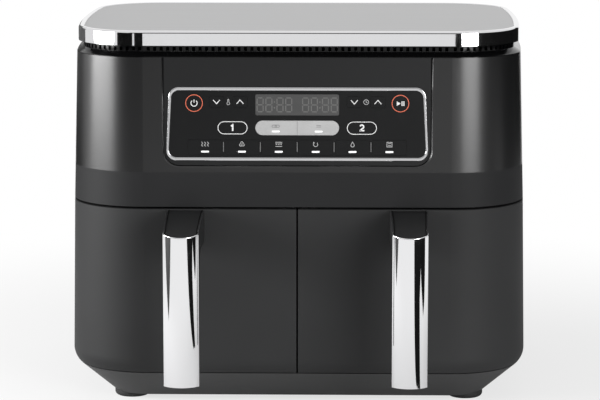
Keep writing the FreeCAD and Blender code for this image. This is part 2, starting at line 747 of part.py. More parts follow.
def face_prism(face, y):
    """A face drawn at depth 0, extruded between two depths."""
    return face.translated(BACK * y[0]).extrude(BACK * (y[1] - y[0]))


def fascia():
    """The flat front panel behind the frame, with a window for the keys and bosses for their board."""
    plate = face_prism(fascia_outline(FASCIA_GAP), (FASCIA_Y, FASCIA_Y + FASCIA_THICKNESS))
    window = frame_outline(FRAME_BAR + PANEL_SEAT, FRAME_SIDE + PANEL_SEAT)
    through = (FASCIA_Y - OVERSHOOT, FASCIA_Y + FASCIA_THICKNESS + OVERSHOOT)
    plate = plate.cut(face_prism(window, through))
    bosses = []
    for x, z in board_boss_places():
        bosses.append(level_rod(x, (FASCIA_Y + FASCIA_THICKNESS, BOARD_Y), z, BOARD_BOSS_RADIUS))
    return join([plate, *bosses])


def board_boss_places():
    x = FRAME_BOTTOM_HALF - FRAME_SIDE + BOARD_BOSS_RADIUS / 4
    return [(side * x, FRAME_BOTTOM_Z + rise) for side in SIDES.values() for rise in BOARD_BOSS_RISES]


def panel_frame():
    """The bright frame round the control panel, with rounded front edges."""
    y = (FASCIA_Y - FRAME_DEPTH, FASCIA_Y)
    ring = face_prism(frame_outline(0, 0), y).cut(face_prism(frame_outline(FRAME_BAR, FRAME_SIDE), y))
    front = [edge for edge in ring.Edges if edge.BoundBox.YMax < FASCIA_Y - FRAME_DEPTH + TOUCH]
    return ring.makeFillet(FRAME_EDGE_ROUND, front)


def key_outlines():
    """{key: its face on the panel}, drawn from the panel's layout."""
    keys = {}
    for name, side in (("power_key", -1), ("start_key", 1)):
        centre = V(side * ROUND_KEY_X, 0, FRAME_BOTTOM_Z + ROUND_KEY_RISE)
        circle = Part.makeCircle(ROUND_KEY_RADIUS, centre, BACK)
        keys[name] = Part.Face(Part.Wire([circle]))
    near, far = ARROW_KEY_X
    arrows = {"temp_down_key": -far, "temp_up_key": -near, "time_down_key": near, "time_up_key": far}
    for name, x in arrows.items():
        keys[name] = key_face(x, ARROW_KEY_RISE, ARROW_KEY_WIDTH, ARROW_KEY_HEIGHT, [ARROW_KEY_ROUND] * 4)
    pill = ZONE_KEY_HEIGHT / 2
    for name, side in (("zone_1_key", -1), ("zone_2_key", 1)):
        keys[name] = key_face(side * ZONE_KEY_X, ZONE_KEY_RISE, ZONE_KEY_WIDTH, ZONE_KEY_HEIGHT, [pill] * 4)
    pill = PAIR_KEY_HEIGHT / 2
    pair_x = (PAIR_KEY_WIDTH + KEY_GAP) / 2
    rounds = {"sync_key": [pill, 0, 0, pill], "match_key": [0, pill, pill, 0]}
    for name, x in (("sync_key", -pair_x), ("match_key", pair_x)):
        keys[name] = key_face(x, ZONE_KEY_RISE, PAIR_KEY_WIDTH, PAIR_KEY_HEIGHT, rounds[name])
    for i in range(FUNCTION_KEY_COUNT):
        x = (i - (FUNCTION_KEY_COUNT - 1) / 2) * FUNCTION_KEY_PITCH
        keys[f"function_key_{i + 1}"] = key_face(
            x, FUNCTION_KEY_RISE, FUNCTION_KEY_WIDTH, FUNCTION_KEY_HEIGHT, [FUNCTION_KEY_ROUND] * 4
        )
    return keys


def key_face(x, rise, width, height, radii):
    """A key's face on the panel: a rectangle with its own corner radii, from the lower left round."""
    z = FRAME_BOTTOM_Z + rise
    points = [
        V(x - width / 2, 0, z - height / 2),
        V(x + width / 2, 0, z - height / 2),
        V(x + width / 2, 0, z + height / 2),
        V(x - width / 2, 0, z + height / 2),
    ]
    return rounded_polygon(points, radii)


def widened(face, by):
    """A key's face grown on all sides."""
    return Part.Face(face.OuterWire.makeOffset2D(by))


def display_face():
    return key_face(0, DISPLAY_RISE, 2 * DISPLAY_HALF_WIDTH, DISPLAY_HEIGHT, [DISPLAY_ROUND] * 4)


def control_panel(keys):
    """The flat overlay inside the frame, with a hole for each key and for the display's window."""
    y = (PANEL_Y, FASCIA_Y)
    plate = face_prism(frame_outline(FRAME_BAR + PANEL_GAP, FRAME_SIDE + PANEL_GAP), y)
    through = (PANEL_Y - OVERSHOOT, FASCIA_Y + OVERSHOOT)
    holes = [face_prism(widened(face, KEY_GAP), through) for face in keys.values()]
    holes.append(face_prism(widened(display_face(), PANEL_GAP), through))
    return plate.cut(join(holes))


def key_piece(face):
    """A key: its face in the panel, a lip that keeps it behind the panel, and a stem for its switch."""
    stem = face_prism(face, (PANEL_Y, PANEL_Y + KEY_DEPTH))
    seat = FASCIA_Y + KEY_SEAT_GAP
    lip = face_prism(widened(face, KEY_LIP), (seat, seat + KEY_LIP_THICKNESS))
    return join([stem, lip])


def key_pieces(keys):
    """All keys. The two halves of the middle bar meet, so their lips stop short of each other."""
    pieces = {name: key_piece(face) for name, face in keys.items()}
    half = KEY_GAP / 2
    z = (0, FAR)
    pieces["sync_key"] = pieces["sync_key"].cut(box((-half, FAR), (-FAR, FAR), z))
    pieces["match_key"] = pieces["match_key"].cut(box((-FAR, half), (-FAR, FAR), z))
    return pieces


def display_window():
    """The smoked window over the display."""
    return face_prism(display_face(), (PANEL_Y, FASCIA_Y + PANEL_THICKNESS))


def display_module():
    """The digit module behind the window, on the control board."""
    face = key_face(0, DISPLAY_RISE, 2 * DISPLAY_HALF_WIDTH - DISPLAY_ROUND, DISPLAY_HEIGHT, [0] * 4)
    return face_prism(face, (FASCIA_Y + PANEL_THICKNESS, BOARD_Y))


def control_board(keys):
    """The upright circuit board on the fascia's bosses, with one small switch behind each key."""
    half = FRAME_BOTTOM_HALF - BOARD_EDGE / 2
    z = (FRAME_BOTTOM_Z, FRAME_TOP_Z - BOARD_EDGE)
    pieces = [box((-half, half), (BOARD_Y, BOARD_Y + BOARD_THICKNESS), z)]
    for face in keys.values():
        middle = face.BoundBox.Center
        x = (middle.x - SWITCH_SIZE / 2, middle.x + SWITCH_SIZE / 2)
        z = (middle.z - SWITCH_SIZE / 2, middle.z + SWITCH_SIZE / 2)
        pieces.append(box(x, (BOARD_Y - SWITCH_HEIGHT, BOARD_Y), z))
    return join(pieces)


def drawer_front(side):
    """A drawer's front: a shell with inward flanges that wraps round the corner, and a pad for its bin."""
    flange_low = BASE_EDGE_Z + DRAWER_FLANGE
    flange_high = SEAM_Z - DRAWER_FLANGE
    wall_low = knee_inset(flange_low) + DRAWER_WALL
    wall_high = skin_inset(flange_high) + DRAWER_WALL
    depth = DRAWER_WALL + DRAWER_FLANGE_DEPTH
    bend = DRAWER_EDGE_ROUND * (1 - math.sqrt(0.5))
    edge_low = SEAM_Z - DRAWER_EDGE_ROUND
    edge_middle = section_point(SEAM_INSET + bend, SEAM_Z - bend)
    edge_high = section_point(SEAM_INSET + DRAWER_EDGE_ROUND, SEAM_Z)
    ring = sweep_round_plan(outline(
        knee_point(BASE_EDGE_Z),
        knee_arc(BASE_EDGE_Z, KNEE_UPPER.y),
        section_point(skin_inset(edge_low), edge_low),
        (edge_middle, edge_high),
        section_point(depth, SEAM_Z),
        section_point(depth, flange_high),
        section_point(wall_high, flange_high),
        section_point(wall_low, flange_low),
        section_point(depth, flange_low),
        section_point(depth, BASE_EDGE_Z),
    ))
    x = sorted((side * SPLIT_GAP / 2, side * FAR))
    front = ring.common(box(x, (-FAR, WRAP_Y), (0, FAR)))
    middle_z = (BASE_EDGE_Z + SEAM_Z) / 2
    pad_x = (side * DRAWER_X - PAD_WIDTH / 2, side * DRAWER_X + PAD_WIDTH / 2)
    pad_z = (middle_z - PAD_HEIGHT / 2, middle_z + PAD_HEIGHT / 2)
    in_wall = FRONT_Y + SEAM_INSET + DRAWER_WALL / 2
    pad = box(pad_x, (in_wall, BIN_FRONT_Y), pad_z)
    cheek_x = sorted((side * SPLIT_GAP / 2, side * (SPLIT_GAP / 2 + DRAWER_FLANGE)))
    cheek = box(cheek_x, (in_wall, FRONT_Y + depth), (BASE_EDGE_Z, SEAM_Z))
    return join([front, pad, cheek])


def bin_block(side, grow, z):
    """A block as large as a bin's outside, grown on all sides, between two heights."""
    x = (side * DRAWER_X - BIN_HALF - grow, side * DRAWER_X + BIN_HALF + grow)
    return rounded_box(x, (BIN_FRONT_Y - grow, BIN_BACK_Y + grow), z, BIN_ROUND + grow)


def drawer_bin(side):
    """A drawer's coated bin: an open box with round corners, a round floor edge and a lip."""
    outer = bin_block(side, 0, (BIN_BOTTOM_Z, BIN_TOP_Z))
    outer = outer.makeFillet(BIN_FLOOR_ROUND, bottom_edges(outer))
    lip = bin_block(side, BIN_LIP, (BIN_TOP_Z - BIN_WALL, BIN_TOP_Z))
    inner = bin_block(side, -BIN_WALL, (BIN_BOTTOM_Z + BIN_WALL, BIN_TOP_Z + OVERSHOOT))
    inner = inner.makeFillet(BIN_FLOOR_ROUND - BIN_WALL, bottom_edges(inner))
    return join([outer, lip]).cut(inner)


def plate_span(side, margin):
    """(x, y) pairs of a rectangle inside a bin, a margin away from its walls."""
    half = BIN_HALF - BIN_WALL - margin
    centre = side * DRAWER_X
    y = (BIN_FRONT_Y + BIN_WALL + margin, BIN_BACK_Y - BIN_WALL - margin)
    return (centre - half, centre + half), y


def plate_level():
    low = BIN_BOTTOM_Z + BIN_WALL + PLATE_RISE
    return low, low + PLATE_SHEET


def crisper_plate(side):
    """The slotted plate that lifts out of a bin, on four short legs."""
    x, y = plate_span(side, PLATE_MARGIN)
    z = plate_level()
    through = (z[0] - OVERSHOOT, z[1] + OVERSHOOT)
    plate = rounded_box(x, y, z, BIN_ROUND - BIN_WALL - PLATE_MARGIN)
    count_x = int((x[1] - x[0] - 2 * HOLE_BORDER + HOLE_PITCH_X - HOLE_LENGTH) / HOLE_PITCH_X)
    count_y = int((y[1] - y[0] - 2 * HOLE_BORDER + HOLE_PITCH_Y - HOLE_WIDTH) / HOLE_PITCH_Y)
    holes = []
    for column in range(count_x):
        for row in range(count_y):
            hole_x = sum(x) / 2 + (column - (count_x - 1) / 2) * HOLE_PITCH_X
            hole_y = sum(y) / 2 + (row - (count_y - 1) / 2) * HOLE_PITCH_Y
            span_x = (hole_x - HOLE_LENGTH / 2, hole_x + HOLE_LENGTH / 2)
            span_y = (hole_y - HOLE_WIDTH / 2, hole_y + HOLE_WIDTH / 2)
            holes.append(rounded_box(span_x, span_y, through, HOLE_WIDTH / 2))
    plate = plate.cut(Part.makeCompound(holes))
    legs = []
    for leg_x in (x[0] + LEG_INSET, x[1] - LEG_INSET):
        for leg_y in (y[0] + LEG_INSET / 2, y[1] - LEG_INSET / 2):
            legs.append(upright_rod(leg_x, leg_y, (BIN_BOTTOM_Z + BIN_WALL + LEG_GAP, z[0]), LEG_RADIUS))
    return join([plate, *legs])


def crisper_bumpers(side, plate):
    """Four soft bumpers clipped on the plate's edges, which keep it centred in its bin."""
    x, y = plate_span(side, RUNNING_GAP)
    edge_x, edge_y = plate_span(side, PLATE_MARGIN)
    middle_x = sum(x) / 2
    middle_y = sum(y) / 2
    middle_z = sum(plate_level()) / 2
    z = (middle_z - BUMPER_HEIGHT / 2, middle_z + BUMPER_HEIGHT / 2)
    across = (middle_x - BUMPER_LENGTH / 2, middle_x + BUMPER_LENGTH / 2)
    along = (middle_y - BUMPER_LENGTH / 2, middle_y + BUMPER_LENGTH / 2)
    blocks = [
        box((x[0], edge_x[0] + BUMPER_GRIP), along, z),
        box((edge_x[1] - BUMPER_GRIP, x[1]), along, z),
        box(across, (y[0], edge_y[0] + BUMPER_GRIP), z),
        box(across, (edge_y[1] - BUMPER_GRIP, y[1]), z),
    ]
    solids = []
    for block in blocks:
        solids.extend(block.cut(plate).Solids)
    return Part.makeCompound(solids)


def handle_profile():
    """The handle seen from the side: a sloping arm over a hanging grip, with a round throat."""
    root = FRONT_Y
    top = SEAM_Z - HANDLE_TOP_DROP
    front_top = SEAM_Z - HANDLE_FRONT_DROP
    grip = HANDLE_FRONT_Y + HANDLE_GRIP_DEPTH
    low = BASE_EDGE_Z + HANDLE_BOTTOM
    under = top - HANDLE_ARM
    crest = V(0, (root + HANDLE_FRONT_Y) / 2, (top + front_top) / 2 + HANDLE_CREST)
    bend = HANDLE_THROAT * (1 - math.sqrt(0.5))
    throat = V(0, grip + bend, under - bend)
    return outline(
        V(0, root + SHELL_WALL, top),
        V(0, root, top),
        (crest, V(0, HANDLE_FRONT_Y, front_top)),
        V(0, HANDLE_FRONT_Y, low),
        V(0, grip, low),
        V(0, grip, under - HANDLE_THROAT),
        (throat, V(0, grip + HANDLE_THROAT, under)),
        V(0, root + SHELL_WALL, under),
    )


def handle_plan(gap):
    """The handle's core seen from above: a round nose, drawn in by a gap, and sides that widen backwards."""
    half = HANDLE_WIDTH / 2 - gap
    chord = HANDLE_FRONT_Y + TRIM_BULGE
    root = HANDLE_ROOT_WIDTH / 2
    back = FRONT_Y + SHELL_WALL
    return outline(
        V(-half, chord, 0),
        (V(0, HANDLE_FRONT_Y + gap, 0), V(half, chord, 0)),
        V(HANDLE_WIDTH / 2, chord, 0),
        V(root, back, 0),
        V(-root, back, 0),
        V(-HANDLE_WIDTH / 2, chord, 0),
    )


def trim_plan():
    """The bright trim seen from above: a thin half-round shell over the handle's nose."""
    half = HANDLE_WIDTH / 2
    chord = HANDLE_FRONT_Y + TRIM_BULGE
    return outline(
        V(-half, chord, 0),
        (V(0, HANDLE_FRONT_Y, 0), V(half, chord, 0)),
        V(half - TRIM_WALL, chord, 0),
        (V(0, HANDLE_FRONT_Y + TRIM_WALL, 0), V(TRIM_WALL - half, chord, 0)),
    )


def handle(side, drawer):
    """A handle in two pieces, (core, trim), cut to the drawer's front at its root."""
    start = handle_profile().translated(-ACROSS * HANDLE_ROOT_WIDTH)
    profile = start.extrude(ACROSS * 2 * HANDLE_ROOT_WIDTH)
    core = profile.common(handle_plan(TRIM_WALL + TRIM_GAP).extrude(UP * FAR))
    trim = profile.common(trim_plan().extrude(UP * FAR))
    grip_back = HANDLE_FRONT_Y + HANDLE_GRIP_DEPTH
    back_edges = []
    for edge in core.Edges:
        reach = edge.BoundBox
        on_back = abs(reach.YMin - grip_back) < TOUCH and abs(reach.YMax - grip_back) < TOUCH
        if on_back and reach.ZLength > HANDLE_ARM:
            back_edges.append(edge)
    core = core.makeFillet(GRIP_ROUND, back_edges)
    place = ACROSS * side * DRAWER_X
    core = core.translated(place).cut(drawer)
    core = min(core.Solids, key=lambda solid: solid.BoundBox.YMin)
    return core, trim.translated(place)


def chamber(side):
    """A cooking chamber: a sheet box that is open at the front, with runners and a heater dome."""
    centre = side * DRAWER_X
    x = (centre - CHAMBER_HALF, centre + CHAMBER_HALF)
    y = (CHAMBER_FRONT_Y, CHAMBER_BACK_Y)
    outer = box(x, y, (CHAMBER_BOTTOM_Z, CHAMBER_TOP_Z))
    dome = upright_rod(centre, FAN_Y, (CEILING_Z, DOME_TOP_Z), DOME_RADIUS + SHEET)
    inner_y = (y[0] - OVERSHOOT, y[1] - SHEET)
    inner = box((x[0] + SHEET, x[1] - SHEET), inner_y, (CHAMBER_BOTTOM_Z + SHEET, CEILING_Z))
    dome_space = upright_rod(centre, FAN_Y, (CEILING_Z - SHEET, DOME_TOP_Z - SHEET), DOME_RADIUS)
    shell = outer.fuse(dome).cut(inner).cut(dome_space)
    runners = []
    for runner_x in (centre - RUNNER_SPACING / 2, centre + RUNNER_SPACING / 2):
        span = (runner_x - RUNNER_WIDTH / 2, runner_x + RUNNER_WIDTH / 2)
        floor = CHAMBER_BOTTOM_Z + SHEET
        runners.append(box(span, (y[0], y[1] - SHEET), (floor, floor + RUNNER_HEIGHT)))
    shell = join([shell, *runners])
    cuts = [upright_rod(centre, FAN_Y, (CEILING_Z, DOME_TOP_Z + OVERSHOOT), SHAFT_RADIUS + SHAFT_GAP)]
    for tail in heater_tails(side):
        hole = (DOME_TOP_Z - 2 * SHEET, DOME_TOP_Z + OVERSHOOT)
        cuts.append(upright_rod(tail.x, tail.y, hole, HEATER_TUBE + HEATER_GAP))
    wall = (y[1] - 2 * SHEET, y[1] + OVERSHOOT)
    cuts.append(level_rod(centre + PROBE_X, wall, probe_z(), PROBE_RADIUS + HOLE_GAP))
    cuts.append(level_rod(centre - DOOR_SWITCH_X, wall, door_switch_z(), PLUNGER_RADIUS + HOLE_GAP))
    return shell.cut(Part.makeCompound(cuts))


def probe_z():
    return CEILING_Z - PROBE_DROP


def door_switch_z():
    return BIN_BOTTOM_Z + DOOR_SWITCH_RISE


def ring_frame(angle):
    """The outward and the forward direction at an angle of a heater's ring."""
    turn = math.radians(angle)
    return V(math.cos(turn), math.sin(turn), 0), V(-math.sin(turn), math.cos(turn), 0)


def heater_centre(side):
    return V(side * DRAWER_X, FAN_Y, CEILING_Z + HEATER_RISE)


def heater_tails(side):
    """The points above which a heater's two ends rise through the dome."""
    outward, forward = ring_frame(HEATER_START)
    middle = heater_centre(side)
    return [middle + outward * radius - forward * HEATER_BEND for radius in (HEATER_OUTER, HEATER_INNER)]


def heater(side):
    """A tube heater: two rings joined by a turn, with both ends bent up through the dome."""
    middle = heater_centre(side)
    half_way = HEATER_START + HEATER_SWEEP / 2
    start_out, start_on = ring_frame(HEATER_START)
    half_out, half_on = ring_frame(half_way)
    end_out, end_on = ring_frame(HEATER_START + HEATER_SWEEP)
    bend = UP * HEATER_BEND
    dip = (start_on + UP) * (HEATER_BEND * math.sqrt(0.5))
    tails = heater_tails(side)
    tail = UP * (DOME_TOP_Z - middle.z + HEATER_TAIL)
    turn_radius = (HEATER_OUTER - HEATER_INNER) / 2
    turn_top = middle + end_out * (HEATER_INNER + turn_radius) + end_on * turn_radius
    outer = [middle + out * HEATER_OUTER for out in (start_out, half_out, end_out)]
    inner = [middle + out * HEATER_INNER for out in (start_out, half_out, end_out)]
    path = Part.Wire([
        Part.makeLine(tails[0] + tail, tails[0] + bend),
        Part.Arc(tails[0] + bend, outer[0] + bend - dip, outer[0]).toShape(),
        Part.Arc(*outer).toShape(),
        Part.Arc(outer[2], turn_top, inner[2]).toShape(),
        Part.Arc(inner[2], inner[1], inner[0]).toShape(),
        Part.Arc(inner[0], inner[0] + bend - dip, tails[1] + bend).toShape(),
        Part.makeLine(tails[1] + bend, tails[1] + tail),
    ])
    ring = Part.Wire([Part.makeCircle(HEATER_TUBE, tails[0] + tail, UP)])
    return path.makePipeShell([ring], True, False)


def fan_guard(side):
    """The round grille under a dome: flat rings joined by spokes."""
    centre = side * DRAWER_X
    z = (CEILING_Z - GUARD_THICKNESS, CEILING_Z)
    guard = upright_rod(centre, FAN_Y, z, DOME_RADIUS + GUARD_LAP)
    pitch = DOME_RADIUS / (GUARD_RINGS + 1)
    gaps = []
    for ring in range(1, GUARD_RINGS + 1):
        wide = upright_rod(centre, FAN_Y, z, (ring + 1) * pitch - GUARD_BAR)
        gaps.append(wide.cut(upright_rod(centre, FAN_Y, z, ring * pitch)))
    spokes = []
    for i in range(GUARD_SPOKES):
        spoke = box((0, DOME_RADIUS), (-GUARD_BAR / 2, GUARD_BAR / 2), z)
        spokes.append(spoke.rotated(V(0, 0, 0), UP, 360 * i / GUARD_SPOKES).translated(V(centre, FAN_Y, 0)))
    spokes = join(spokes)
    return guard.cut(Part.makeCompound([gap.cut(spokes) for gap in gaps]))


def motor(side):
    """A fan motor on top of a dome, with cooling fins and a bore for the shaft."""
    centre = side * DRAWER_X
    flange = upright_rod(centre, FAN_Y, (DOME_TOP_Z, DOME_TOP_Z + MOTOR_FLANGE), MOTOR_FLANGE_RADIUS)
    can = upright_rod(centre, FAN_Y, (DOME_TOP_Z, MOTOR_TOP_Z), MOTOR_RADIUS)
    reach = (MOTOR_RADIUS - MOTOR_FIN, MOTOR_RADIUS + MOTOR_FIN)
    fin_z = (DOME_TOP_Z, MOTOR_TOP_Z - MOTOR_FLANGE)
    fin = box(reach, (-MOTOR_FIN_WIDTH / 2, MOTOR_FIN_WIDTH / 2), fin_z)
    fins = []
    for i in range(MOTOR_FINS):
        turn = 360 * (i + 0.5) / MOTOR_FINS
        fins.append(fin.rotated(V(0, 0, 0), UP, turn).translated(V(centre, FAN_Y, 0)))
    through = (DOME_TOP_Z - OVERSHOOT, MOTOR_TOP_Z + OVERSHOOT)
    bore = upright_rod(centre, FAN_Y, through, SHAFT_RADIUS + SHAFT_GAP)
    return join([flange, can, *fins]).cut(bore)


def fan_shaft(side):
    """The shaft from the hot fan, through the motor, to the cooling fan."""
    low = FAN_TOP_Z - FAN_BLADE_HEIGHT - SHAFT_END
    high = MOTOR_TOP_Z + COOLING_FAN_GAP + COOLING_FAN_HEIGHT + SHAFT_END
    return upright_rod(side * DRAWER_X, FAN_Y, (low, high), SHAFT_RADIUS)


def convection_fan(side):
    """The hot-air fan: radial blades under a disc, on a hub."""
    place = V(side * DRAWER_X, FAN_Y, 0)
    low = FAN_TOP_Z - FAN_BLADE_HEIGHT
    pieces = [
        upright_rod(0, 0, (FAN_TOP_Z - FAN_DISC, FAN_TOP_Z), FAN_RADIUS),
        upright_rod(0, 0, (low, FAN_TOP_Z), FAN_HUB),
    ]
    reach = (FAN_HUB / 2, FAN_RADIUS - FAN_BLADE)
    blade = box(reach, (-FAN_BLADE / 2, FAN_BLADE / 2), (low, FAN_TOP_Z))
    for i in range(FAN_BLADES):
        pieces.append(blade.rotated(V(0, 0, 0), UP, 360 * i / FAN_BLADES))
    bore = upright_rod(0, 0, (low - OVERSHOOT, FAN_TOP_Z + OVERSHOOT), SHAFT_RADIUS + HUB_GAP)
    return join(pieces).cut(bore).translated(place)


def cooling_fan(side):
    """The small axial fan over a motor, with pitched blades on a hub."""
    place = V(side * DRAWER_X, FAN_Y, 0)
    low = MOTOR_TOP_Z + COOLING_FAN_GAP
    z = (low, low + COOLING_FAN_HEIGHT)
    hub = upright_rod(0, 0, z, FAN_HUB)
    pieces = [hub]
    middle = V(0, 0, sum(z) / 2)
    reach = (FAN_HUB / 2, COOLING_FAN_RADIUS)
    blade_z = (middle.z - FAN_BLADE / 2, middle.z + FAN_BLADE / 2)
    blade = box(reach, (-COOLING_FAN_HEIGHT / 2, COOLING_FAN_HEIGHT / 2), blade_z)
    blade = blade.rotated(middle, ACROSS, COOLING_FAN_PITCH)
    for i in range(COOLING_FAN_BLADES):
        pieces.append(blade.rotated(middle, UP, 360 * i / COOLING_FAN_BLADES))
    bore = upright_rod(0, 0, (z[0] - OVERSHOOT, z[1] + OVERSHOOT), SHAFT_RADIUS + HUB_GAP)
    return join(pieces).cut(bore).translated(place)


def power_board():
    """The power board across both chambers, on posts, with its transformer, relays and terminals."""
    half = POWER_BOARD_LENGTH / 2
    y = (CHAMBER_BACK_Y - POWER_BOARD_DEPTH, CHAMBER_BACK_Y)
    low = CHAMBER_TOP_Z + POWER_BOARD_RISE
    top = low + BOARD_THICKNESS
    pieces = [box((-half, half), y, (low, top))]
    for post_x in (POST_INSET - half, half - POST_INSET):
        for post_y in (y[0] + POST_INSET, y[1] - POST_INSET):
            pieces.append(upright_rod(post_x, post_y, (CHAMBER_TOP_Z, low), POST_RADIUS))
    middle = sum(y) / 2
    for x, width, depth, height in BOARD_BLOCKS.values():
        block_x = (x - width / 2, x + width / 2)
        block_y = (middle - depth / 2, middle + depth / 2)
        pieces.append(box(block_x, block_y, (top, top + height)))
    for x, radius, height in BOARD_CANS.values():
        pieces.append(upright_rod(x, middle, (top, top + height), radius))
    return join(pieces)


def thermal_sensors():
    """A temperature probe through the back of each chamber, over its drawer."""
    solids = []
    for side in SIDES.values():
        x = side * DRAWER_X + PROBE_X
        tip = CHAMBER_BACK_Y - SHEET - PROBE_REACH
        stem = level_rod(x, (tip, CHAMBER_BACK_Y), probe_z(), PROBE_RADIUS)
        head = level_rod(x, (CHAMBER_BACK_Y, CHAMBER_BACK_Y + PROBE_HEAD), probe_z(), PROBE_HEAD_RADIUS)
        solids.append(join([stem, head]).Solids[0])
    return Part.makeCompound(solids)


def drawer_switches():
    """A switch behind each chamber, whose plunger waits just behind the closed drawer's bin."""
    solids = []
    for side in SIDES.values():
        x = side * DRAWER_X - DOOR_SWITCH_X
        z = door_switch_z()
        tip = BIN_BACK_Y + RUNNING_GAP
        plunger = level_rod(x, (tip, CHAMBER_BACK_Y), z, PLUNGER_RADIUS)
        body_x = (x - DOOR_SWITCH_WIDTH / 2, x + DOOR_SWITCH_WIDTH / 2)
        body_z = (z - DOOR_SWITCH_HEIGHT / 2, z + DOOR_SWITCH_HEIGHT / 2)
        body = box(body_x, (CHAMBER_BACK_Y, CHAMBER_BACK_Y + DOOR_SWITCH_DEPTH), body_z)
        solids.append(join([plunger, body]).Solids[0])
    return Part.makeCompound(solids)


def all_pieces():
    """{node: shape} for every piece of the air fryer."""
    pan = base_pan()
    wall = housing_wall()
    keys = key_outlines()
    pieces = {
        "base_pan": pan,
        "feet": feet(pan),
        "housing": housing(wall),
        "rear_cover": rear_cover(wall),
        "screws": screws(),
        "cord_gland": cord_gland(),
        "vent_ring": vent_ring(),
        "lid_rim": lid_rim(),
        "lid_plate": lid_plate(),
        "fascia": fascia(),
        "panel_frame": panel_frame(),
        "control_panel": control_panel(keys),
        "display_window": display_window(),
        "display_module": display_module(),
        "control_board": control_board(keys),
        "power_board": power_board(),
        "thermal_sensors": thermal_sensors(),
        "drawer_switches": drawer_switches(),
        **key_pieces(keys),
    }
    for name, side in SIDES.items():
        drawer = drawer_front(side)
        core, trim = handle(side, drawer)
        plate = crisper_plate(side)
        pieces |= {
            f"drawer_front_{name}": drawer,
            f"drawer_bin_{name}": drawer_bin(side),
            f"handle_core_{name}": core,
            f"handle_trim_{name}": trim,
            f"crisper_plate_{name}": plate,
            f"crisper_bumpers_{name}": crisper_bumpers(side, plate),
            f"chamber_{name}": chamber(side),
            f"heater_{name}": heater(side),
            f"fan_guard_{name}": fan_guard(side),
            f"motor_{name}": motor(side),
            f"fan_shaft_{name}": fan_shaft(side),
            f"convection_fan_{name}": convection_fan(side),
            f"cooling_fan_{name}": cooling_fan(side),
        }
    return pieces


os.makedirs("parts", exist_ok=True)
for node, shape in all_pieces().items():
    shape.exportStep(f"parts/{node}.step")
    print(f"{node}: {len(shape.Solids)} solids, valid {shape.isValid()}, {shape.Volume:.0f} mm3")
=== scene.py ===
# %% [markdown]
# # A two-drawer air fryer, from solid model to studio picture
# The fryer's shells, drawers, keys and inner parts are already exact solids. This lesson dresses them: it
# gives every piece a finish made of nodes, prints the marks on the control panel, lays a bead round each
# handle's cap, and sets up a small studio of soft lamps and dark cards, because a bright rim only looks
# bright when it has something to mirror.

# %% Load the solid model
import math

import bmesh
import bpy
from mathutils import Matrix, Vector


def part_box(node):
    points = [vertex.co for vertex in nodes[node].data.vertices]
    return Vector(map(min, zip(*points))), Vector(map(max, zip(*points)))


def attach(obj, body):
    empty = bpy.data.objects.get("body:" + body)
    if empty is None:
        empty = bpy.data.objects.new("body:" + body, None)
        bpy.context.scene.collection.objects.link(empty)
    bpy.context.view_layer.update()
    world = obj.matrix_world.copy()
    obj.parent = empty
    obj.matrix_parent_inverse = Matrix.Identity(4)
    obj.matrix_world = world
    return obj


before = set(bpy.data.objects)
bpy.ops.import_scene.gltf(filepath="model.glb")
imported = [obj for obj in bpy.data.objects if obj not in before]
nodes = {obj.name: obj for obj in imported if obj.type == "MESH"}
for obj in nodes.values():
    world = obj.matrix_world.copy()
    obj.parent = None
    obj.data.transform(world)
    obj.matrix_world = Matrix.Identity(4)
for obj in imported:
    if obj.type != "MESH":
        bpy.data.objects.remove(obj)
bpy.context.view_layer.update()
MM = 0.001

# %% [markdown]
# ## The camera
# The picture was taken from a little above the lid with a long lens, almost square to the front. A long lens
# far away keeps the upright edges upright. The place and the turn below were found by matching edges of the
# solid model, such as the seam, the lid and the round keys, to the same edges in the picture.


# %% Place the camera
LOOK_DOWN = 0.1619
LOOK_ASIDE = 0.0202


def new_object(name, data):
    """A new object in the scene."""
    made = bpy.data.objects.new(name, data)
    bpy.context.scene.collection.objects.link(made)
    return made


camera_data = bpy.data.cameras.new("studio_camera")
camera_data.sensor_width = 36
camera_data.lens = 159.4
camera_data.clip_end = 50
camera = new_object("studio_camera", camera_data)
camera.location = (0.0458, -2.2554, 0.5281)
camera.rotation_euler = (math.pi / 2 - LOOK_DOWN, 0, LOOK_ASIDE)
bpy.context.scene.camera = camera
bpy.context.scene.view_settings.view_transform = "Standard"
print("camera lens", camera_data.lens)

# %% [markdown]
# ## Small helpers for shader nodes
# A finish is a tree of nodes that ends in a Principled shader. An effect that several finishes share is built
# once as a group, which each of them places in its tree. The trees could be drawn by hand in the shader
# editor; four helpers keep them short to write as code.


# %% Nodes, finishes and groups
def add_node(tree, kind, inputs=None, **fields):
    """A new node with its fields set, and its input sockets set to values or linked from other sockets."""
    node = tree.nodes.new(kind)
    for field, value in fields.items():
        setattr(node, field, value)
    for socket, value in (inputs or {}).items():
        if isinstance(value, bpy.types.NodeSocket):
            tree.links.new(value, node.inputs[socket])
        else:
            node.inputs[socket].default_value = value
    return node


def new_finish(name, colour, roughness, metallic=0.0):
    """A new material with a plain Principled shader: (material, tree, shader)."""
    material = bpy.data.materials.new(name)
    material.use_nodes = True
    tree = material.node_tree
    shader = tree.nodes["Principled BSDF"]
    shader.inputs["Base Color"].default_value = (*colour, 1)
    shader.inputs["Roughness"].default_value = roughness
    shader.inputs["Metallic"].default_value = metallic
    return material, tree, shader


def new_group(name, inputs, outputs):
    """A new shader node group: (group, its input node, its output node). Inputs are {name: default}."""
    group = bpy.data.node_groups.new(name, "ShaderNodeTree")
    for socket, value in inputs.items():
        made = group.interface.new_socket(socket, in_out="INPUT", socket_type="NodeSocketFloat")
        made.default_value = value
    for socket in outputs:
        group.interface.new_socket(socket, in_out="OUTPUT", socket_type="NodeSocketFloat")
    return group, group.nodes.new("NodeGroupInput"), group.nodes.new("NodeGroupOutput")


